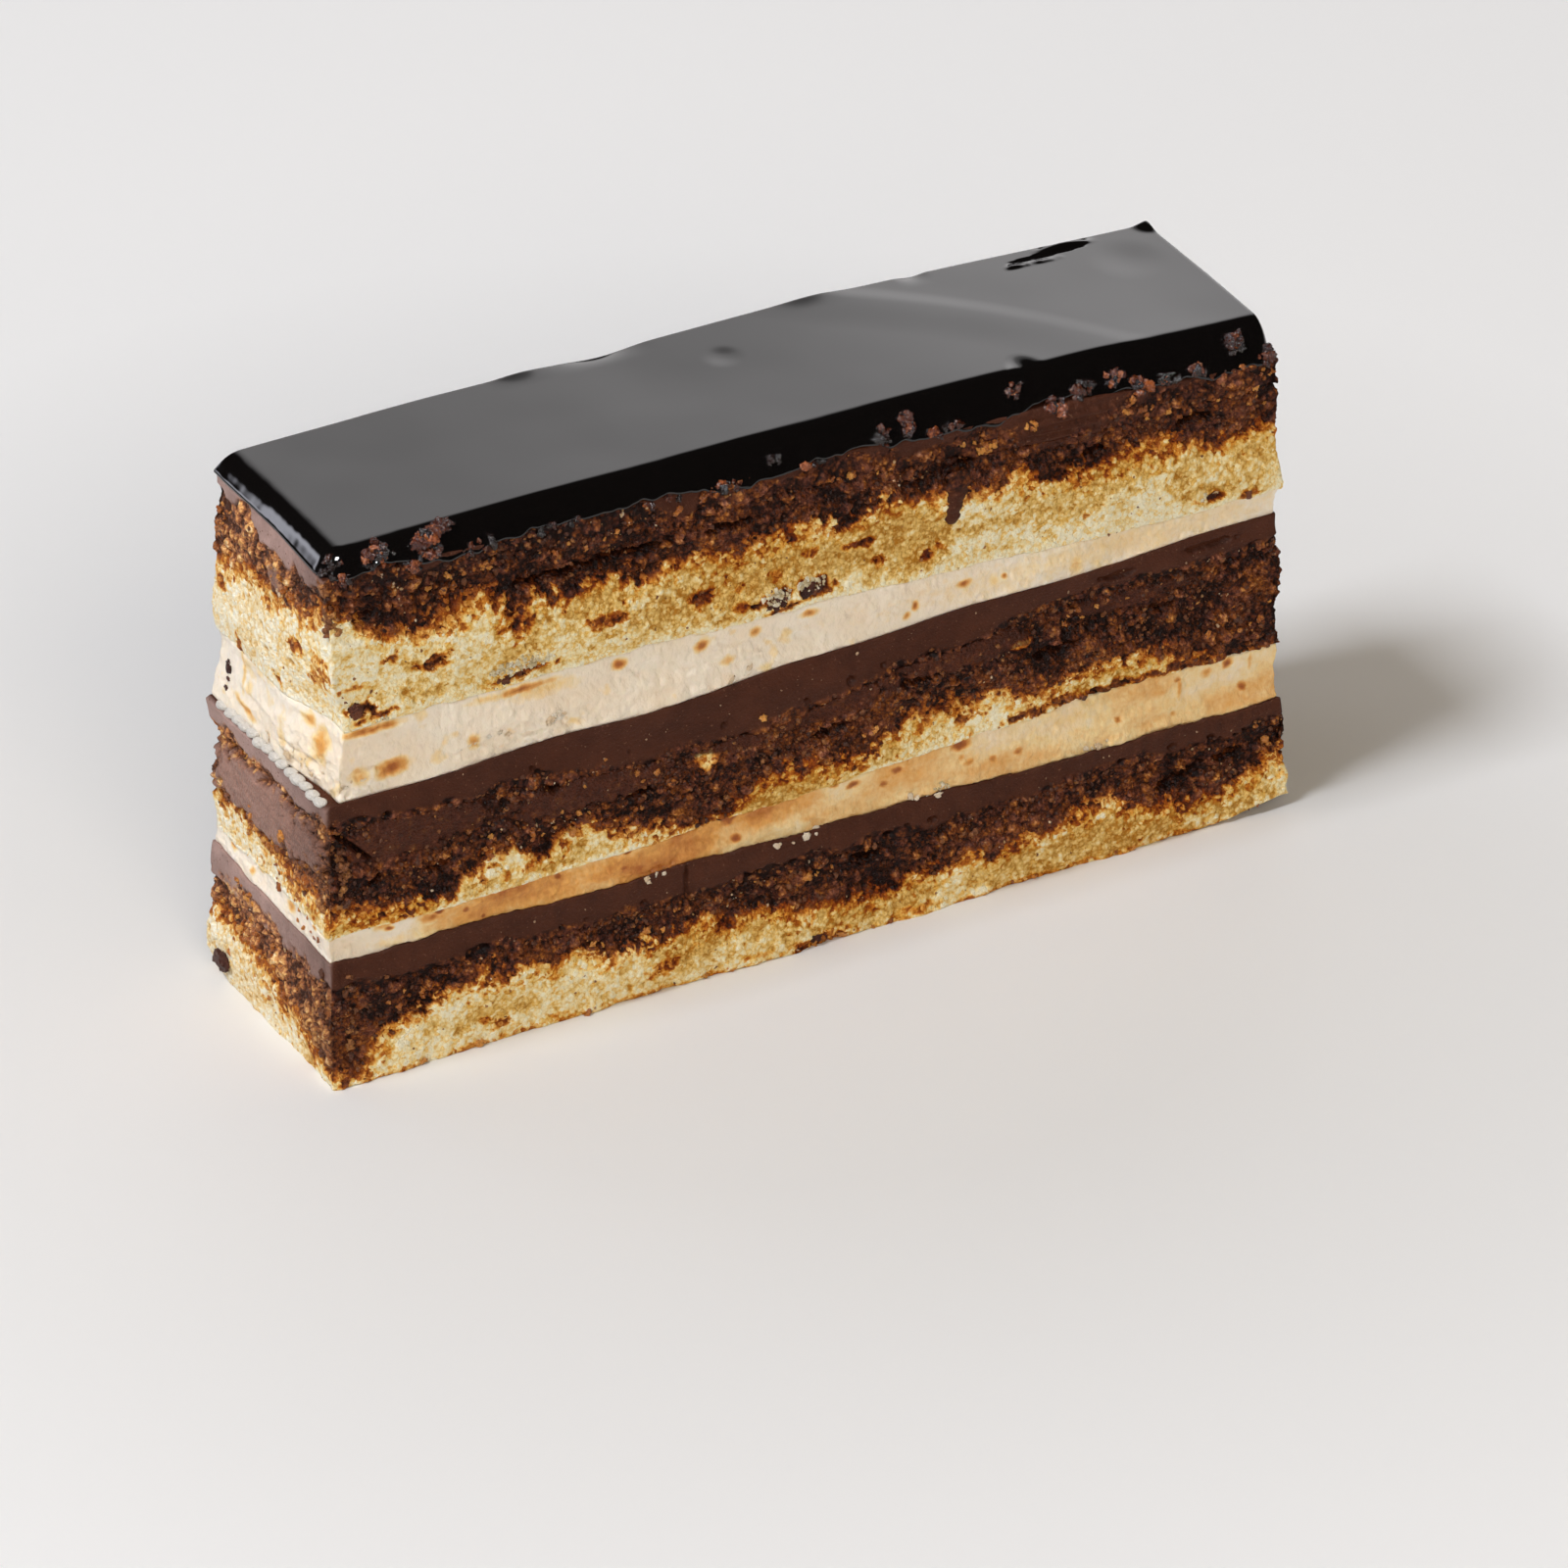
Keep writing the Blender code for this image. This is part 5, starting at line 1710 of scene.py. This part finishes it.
def top_layers() -> list[Slab]:
    """The top sponge and the ganache under the glaze."""
    sponge = SpongeSlab(
        "top_sponge", TOP_SPONGE_FOOT, TOP_GANACHE_FOOT, proud(0.05, 0.25, 0.0, 0.1), 0.1, "sponge",
        soak_line=TOP_SOAK, fringe=1.5, seed=1800, drawn_in=(1.8, 0.0),
        amber=front((15, 47, 7, 2.0, 0.2), (30, 50, 10, 1.4, 0.5), (52, 48.0, 12, 3.2, 1.4), (66, 47.4, 8, 3.6, 1.5),
                    (92, 47.5, 12, 2.8, 0.8), (108, 46.5, 8, 3.2, 0.5), (12.5, 44.5, 1.8, 0.9, 1.0),
                    (104.5, 42.5, 0.9, 0.8, 1.2), (9.5, 48.6, 1.0, 0.8, 1.2)),
        stains=front((12.5, 48.5, 1.3, 1.1, 1.0), (7, 50, 0.9, 0.6, 0.9), (10, 48.0, 0.6, 0.5, 0.8),
                     (1.5, 47.5, 2.0, 0.4, 0.6), (15.5, 51.3, 0.8, 0.6, 0.8), (22.3, 50.0, 1.8, 1.7, 1.0),
                     (32.2, 47.5, 1.8, 0.7, 0.85), (44, 46.5, 1.3, 1.0, 1.0), (48, 46.6, 0.9, 0.5, 0.7),
                     (48.5, 44.5, 0.7, 0.5, 0.7), (53, 47, 0.7, 0.6, 0.7), (57, 48.5, 0.8, 0.6, 0.7),
                     (53, 44.1, 2.4, 1.1, 1.1), (57.2, 44.6, 2.2, 1.1, 1.1), (54.5, 43.0, 2.8, 0.35, 1.0, 0.15),
                     (22.3, 43.7, 3.2, 0.5, 1.1, 0.1), (3.5, 44.9, 1.1, 0.8, 1.1), (4.8, 43.7, 2.2, 0.35, 0.9, 0.1),
                     (63, 48, 1.7, 0.5, 0.85), (65.5, 45.3, 0.9, 0.7, 0.9), (71.5, 44.2, 0.8, 0.6, 0.8),
                     (73, 45, 0.6, 0.5, 0.7), (91.5, 43.7, 0.5, 0.4, 0.8), (4.6, 43.4, 1.4, 0.6, 0.6),
                     (112, 40.8, 1.0, 0.5, 0.9), (107.5, 41.6, 1.3, 0.5, 0.9))
        + left((7, 50, 1.2, 0.9, 0.8), (2.5, 48.5, 1.6, 2.0, 0.62), (24, 49, 1.2, 0.8, 0.85),
               (19.5, 43.5, 0.7, 1.3, 0.85), (11, 44, 0.7, 0.5, 0.8), (13, 51.5, 0.7, 0.6, 0.7))
        + strewn(43, 50, 40, (0.4, 1.5), 25),
        smears=front((90, 54, 6, 1.3, 0.8), (78, 54.6, 5, 0.7, 0.7)) + left((11, 55.5, 1.3, 1.8, 0.7)),
        cracks=front((32, 54.4, 8, 0.55, 1.0, 0.02), (47, 54.6, 3.0, 0.5, 0.9), (92.5, 51.0, 1.4, 0.6, 0.8),
                     (105, 51.8, 2, 0.5, 0.7), (4, 55.5, 1.3, 0.6, 0.7), (70, 53.4, 1.6, 0.6, 0.7),
                     (76.5, 54.4, 1.6, 0.8, 0.9)) + strewn(51, 55, 14, (1.0, 3.0), 26))
    ganache = GanacheSlab(
        "top_ganache", TOP_GANACHE_FOOT, GLAZE_FOOT, proud(0.1, 0.5, 0.0, 0.1), 0.0, "ganache",
        crumb_reach=2.2, seed=1900, scored=0.05,
        crumbed=front((6, 60, 4, 1.6, 1.0), (20, 58.8, 7, 0.9, 0.9), (48, 58.4, 3, 1.2, 0.9), (62, 57.4, 5, 1.2, 1.0),
                      (80, 56.6, 3, 0.9, 0.9), (99, 55.4, 5, 1.6, 1.0), (112, 55.6, 4, 2.0, 1.0)),
        ridged=front((89, 55.6, 7, 2.2, 1.0)))
    return [sponge, ganache]


def strew_crumbs(tray: Tray) -> None:
    """Set crumbs and grains on the walls: soaked, pale, and spilt on the pale sponge."""
    brown = LooseFinish("soaked_crumb", ((0.0, (0.04, 0.013, 0.007)), (0.4, (0.12, 0.040, 0.017)),
                                         (0.75, (0.26, 0.090, 0.024)), (1.0, (0.50, 0.22, 0.06))), 0.45, 0.3)
    clumps = clouds(tray.spot, 5.0, 71, 3)
    dark = tray.crumb * smooth(clumps, -0.6, 0.8)
    finish = brown.build()
    Bits("soaked_crumbs", (0.09, 0.34), 0.9, 72, lift=-0.2).set_on(tray, tray.strew(dark, 4600, 73), finish,
                                                                   (0.1, 0.85))
    pale = LooseFinish("pale_crumb", ((0.0, (0.36, 0.15, 0.05)), (0.5, (0.62, 0.38, 0.16)),
                                      (1.0, (0.88, 0.74, 0.55))), 0.4, 0.4)
    light = tray.crumb * smooth(clouds(tray.spot, 9.0, 75, 3), 0.1, 0.9)
    Bits("pale_crumbs", (0.07, 0.24), 0.9, 76, lift=-0.1).set_on(tray, tray.strew(light, 330, 77), pale.build())
    spill = tray.pale * (1 - tray.crumb)
    Bits("spilt_crumbs", (0.06, 0.2), 0.9, 78, lift=-0.2).set_on(tray, tray.strew(spill, 260, 79), finish,
                                                                 (0.5, 1.0))
    orange = LooseFinish("orange_crumb", ((0.0, (0.18, 0.038, 0.008)), (0.5, (0.50, 0.150, 0.022)),
                                          (1.0, (0.88, 0.40, 0.08))), 0.3, 0.4, grit=1.2)
    spots = front((63, 56.2, 3.5, 0.8, 9), (78, 56.0, 2.0, 0.8, 7), (99, 54.2, 3.2, 1.0, 12), (114, 55.2, 1.1, 1.4, 8),
                  (111, 57.6, 0.9, 1.0, 6), (16, 57.0, 5, 1.4, 8), (30, 57.0, 6, 0.8, 6), (44, 58.0, 4, 0.8, 6),
                  (92, 31.5, 5, 2.0, 9), (66, 25.5, 5, 1.5, 8), (30, 24.5, 10, 1.6, 9), (6, 9.0, 4, 1.5, 8),
                  (34, 9.0, 8, 1.4, 8), (54, 9.5, 6, 1.2, 8))
    spots += front((20, 0.4, 18, 0.2, 7), (62, 0.4, 24, 0.2, 12), (100, 0.5, 14, 0.2, 6), (105, 53, 9, 1.5, 4), (110, 26, 5, 5, 12),
                   (112.5, 52.5, 2.5, 2.5, 6), (113.5, 9.5, 1.5, 2.0, 5),
                   (79.5, 55.4, 1.6, 0.4, 16, 0.25), (84.5, 56.6, 1.0, 0.4, 8), (96.6, 55.6, 0.8, 1.0, 12, 0.8),
                   (16, 24, 8, 1.6, 16), (40, 29, 14, 2.5, 8))
    spots += left((12, 22.8, 10, 1.2, 16), (18, 30.3, 6, 0.5, 6), (14, 9.0, 9, 2.0, 18), (12, 56.0, 9, 1.4, 12),
                  (20, 13.5, 4, 1.0, 8), (24, 57.0, 1.6, 1.6, 12), (10, 25, 10, 1.6, 10), (14, 5.5, 9, 2.0, 10), (8, 19.6, 8, 1.4, 12), (4, 17.0, 3, 1.6, 6))
    corner = front((0.6, 24.5, 0.6, 4.5, 26), (0.6, 8.0, 0.6, 5.5, 22), (0.6, 56.0, 0.6, 2.0, 10))
    corner += left((0.6, 24.5, 0.6, 4.5, 12), (0.6, 8.0, 0.6, 5.5, 14), (0.6, 56.0, 0.6, 2.0, 6))
    Bits("corner_crumbs", (0.2, 0.5), 0.9, 82, detail=3, lift=0.0).set_on(tray, tray.heap(corner, 83), finish, (0.3, 1.0))
    Bits("orange_crumbs", (0.16, 0.42), 0.9, 80, detail=3, lift=-0.1).set_on(tray, tray.heap(spots, 81),
                                                                         orange.build(), (0.25, 1.0))


def glaze_crumbs(tray: Tray) -> None:
    """Set the crumbs that the glaze has run over along its lower edge."""
    finish = LooseFinish("glazed_crumb", ((0.0, (0.004, 0.002, 0.001)), (0.5, (0.016, 0.004, 0.002)),
                                          (0.85, (0.12, 0.024, 0.007)), (1.0, (0.42, 0.11, 0.025))),
                         0.11, 0.7, grit=0.8).build()
    spots = front((1.5, 61.2, 2.0, 1.4, 16), (6.2, 62.2, 1.8, 1.2, 14), (12.2, 61.8, 1.6, 1.0, 16),
                  (10.5, 60.3, 1.8, 0.9, 10), (17, 60.4, 2.5, 0.6, 8), (47.2, 59.4, 1.4, 0.7, 6), (53, 60.6, 0.6, 0.7, 5),
                  (57, 59.2, 2, 0.5, 5), (66.5, 60.0, 1.4, 0.9, 9), (69.4, 60.4, 0.7, 1.2, 8), (83, 61.0, 1.2, 0.7, 7),
                  (87.6, 58.4, 1.2, 0.7, 10), (91, 58.8, 1.5, 0.9, 15), (95, 59.4, 1.4, 0.9, 13), (98, 58.0, 1.6, 0.9, 14),
                  (101.5, 57.8, 1.4, 0.7, 9), (40, 59.8, 3, 0.6, 8), (74, 59.0, 2.0, 0.6, 8), (28, 60.0, 3, 0.6, 8),
                  (105.5, 57.8, 1.0, 0.7, 7), (110.5, 58.6, 1.1, 0.8, 9), (114, 57.0, 0.9, 1.2, 8))
    Bits("glazed_crumbs", (0.22, 0.62), 0.8, 90, detail=3, lift=0.1, slot="glaze", skew=1.6).set_on(
        tray, tray.heap(spots, 91), finish, (0.1, 1.0))
    lumps = front((12.6, 62.8, 1.5, 0.7, 9, 0.25), (6.0, 62.8, 1.0, 0.5, 4), (110.6, 59.0, 0.5, 0.7, 4),
                  (69.3, 60.6, 0.4, 0.7, 3))
    Bits("glazed_lumps", (0.6, 1.0), 0.7, 92, detail=4, lift=0.25, slot="glaze").set_on(
        tray, tray.heap(lumps, 93), finish, (0.4, 1.0))


def cream_bits(tray: Tray) -> None:
    """Set flakes and specks of cream where the knife has torn them off."""
    finish = LooseFinish("loose_cream", ((0.0, (0.80, 0.60, 0.38)), (0.5, (0.93, 0.80, 0.62)),
                                         (1.0, (0.95, 0.90, 0.80))), 0.5).build()
    flakes = front((18, 37.0, 3.5, 0.6, 7, 0.1), (27, 37.6, 4, 0.6, 6, 0.1), (4, 35.9, 4, 0.6, 6), (48, 36.2, 3, 0.8, 4),
                   (37, 14.8, 2.5, 0.6, 4), (55.5, 14.4, 4, 0.6, 5), (71, 14.8, 3, 0.7, 5), (90, 14.8, 5, 0.5, 4))
    flakes += left((6, 35.8, 4, 1.0, 7), (14, 36.2, 8, 0.6, 5))
    Bits("cream_flakes", (0.15, 0.46), 0.8, 94, detail=3, flat=0.3, lift=0.5, slot="cream", skew=1.8,
         tilt=0.25).set_on(tray, tray.heap(flakes, 95), finish)
    specks = front((30, 33.6, 28, 1.2, 7), (80, 35.0, 30, 1.0, 10), (40, 12.4, 36, 1.2, 14), (92, 12.2, 20, 1.0, 10),
                   (52, 31.0, 20, 2.5, 14), (20, 29, 18, 2.5, 12))
    specks += left((13, 32, 11, 0.8, 8), (13, 12.5, 11, 1.4, 6))
    speck = LooseFinish("brown_speck", ((0.0, (0.16, 0.07, 0.035)), (1.0, (0.66, 0.45, 0.28)))).build()
    Bits("brown_specks", (0.05, 0.16), 0.8, 96, slot="cream").set_on(tray, tray.heap(specks, 97), speck)


def chocolate_chips(tray: Tray) -> None:
    """Set the dark flakes and the foamy lumps that sit in the sponge."""
    finish = LooseFinish("chocolate_chip", ((0.0, (0.035, 0.009, 0.005)), (0.6, (0.095, 0.026, 0.013)),
                                            (1.0, (0.20, 0.065, 0.03))), 0.35).build()
    chips = front((3.2, 44.9, 0.6, 0.4, 4), (46.5, 20.0, 0.7, 0.6, 3), (57.5, 0.9, 1.6, 0.3, 4), (21.5, 43.5, 2.6, 0.2, 7, 0.1),
                  (52.5, 43.5, 1.5, 0.2, 4), (57.2, 44.1, 1.2, 0.2, 4), (107.5, 41.5, 0.8, 0.25, 4), (112, 40.6, 0.5, 0.2, 3))
    chips += left((23.4, 37.8, 0.4, 1.8, 6))
    Bits("chocolate_chips", (0.35, 0.8), 0.6, 98, detail=3, flat=0.35, lift=-0.2, slot="ganache").set_on(
        tray, tray.heap(chips, 99), finish)
    Bits("corner_chip", (1.3, 1.5), 0.5, 102, detail=4, flat=0.4, lift=0.2, slot="ganache").set_on(
        tray, tray.heap(left((23.4, 2.4, 0.3, 0.3, 1)), 103), finish, (0.3, 0.5))
    foam = LooseFinish("sponge_foam", ((0.0, (0.60, 0.47, 0.26)), (0.5, (0.84, 0.74, 0.50)),
                                       (1.0, (0.95, 0.90, 0.76))), 0.6).build()
    pockets = front((22.5, 44.8, 3.6, 0.9, 90, 0.1), (53, 44.5, 2.0, 0.9, 60), (57.2, 45.0, 1.9, 0.8, 60),
                    (5.8, 43.4, 1.2, 0.5, 10), (107, 41.8, 1.5, 0.5, 14), (73, 15.2, 2, 0.5, 10))
    Bits("sponge_foam", (0.1, 0.26), 0.9, 100, detail=2, lift=0.1).set_on(tray, tray.heap(pockets, 101), foam)


def main() -> None:
    """Build the studio and the cake."""
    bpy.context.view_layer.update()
    Studio().set_up()
    finishes = {SpongeSlab: SpongeFinish().build(), CreamSlab: CreamFinish().build(),
                GanacheSlab: GanacheFinish().build()}
    slabs = bottom_layers() + middle_layers() + top_layers()
    for slab in slabs:
        slab.cut(finishes[type(slab)])
    glaze = GlazeSheet()
    glaze.cut(GlazeFinish().build())
    CreamTeeth().shape(LooseFinish("pressed_cream", ((0.0, (0.60, 0.55, 0.48)), (1.0, (0.84, 0.82, 0.78)))).build())
    Drip().shape(finishes[GanacheSlab])
    walls = Tray(slabs)
    strew_crumbs(walls)
    cream_bits(walls)
    chocolate_chips(walls)
    glaze_crumbs(Tray([slabs[-1], glaze]))


if __name__ == "__main__":
    main()
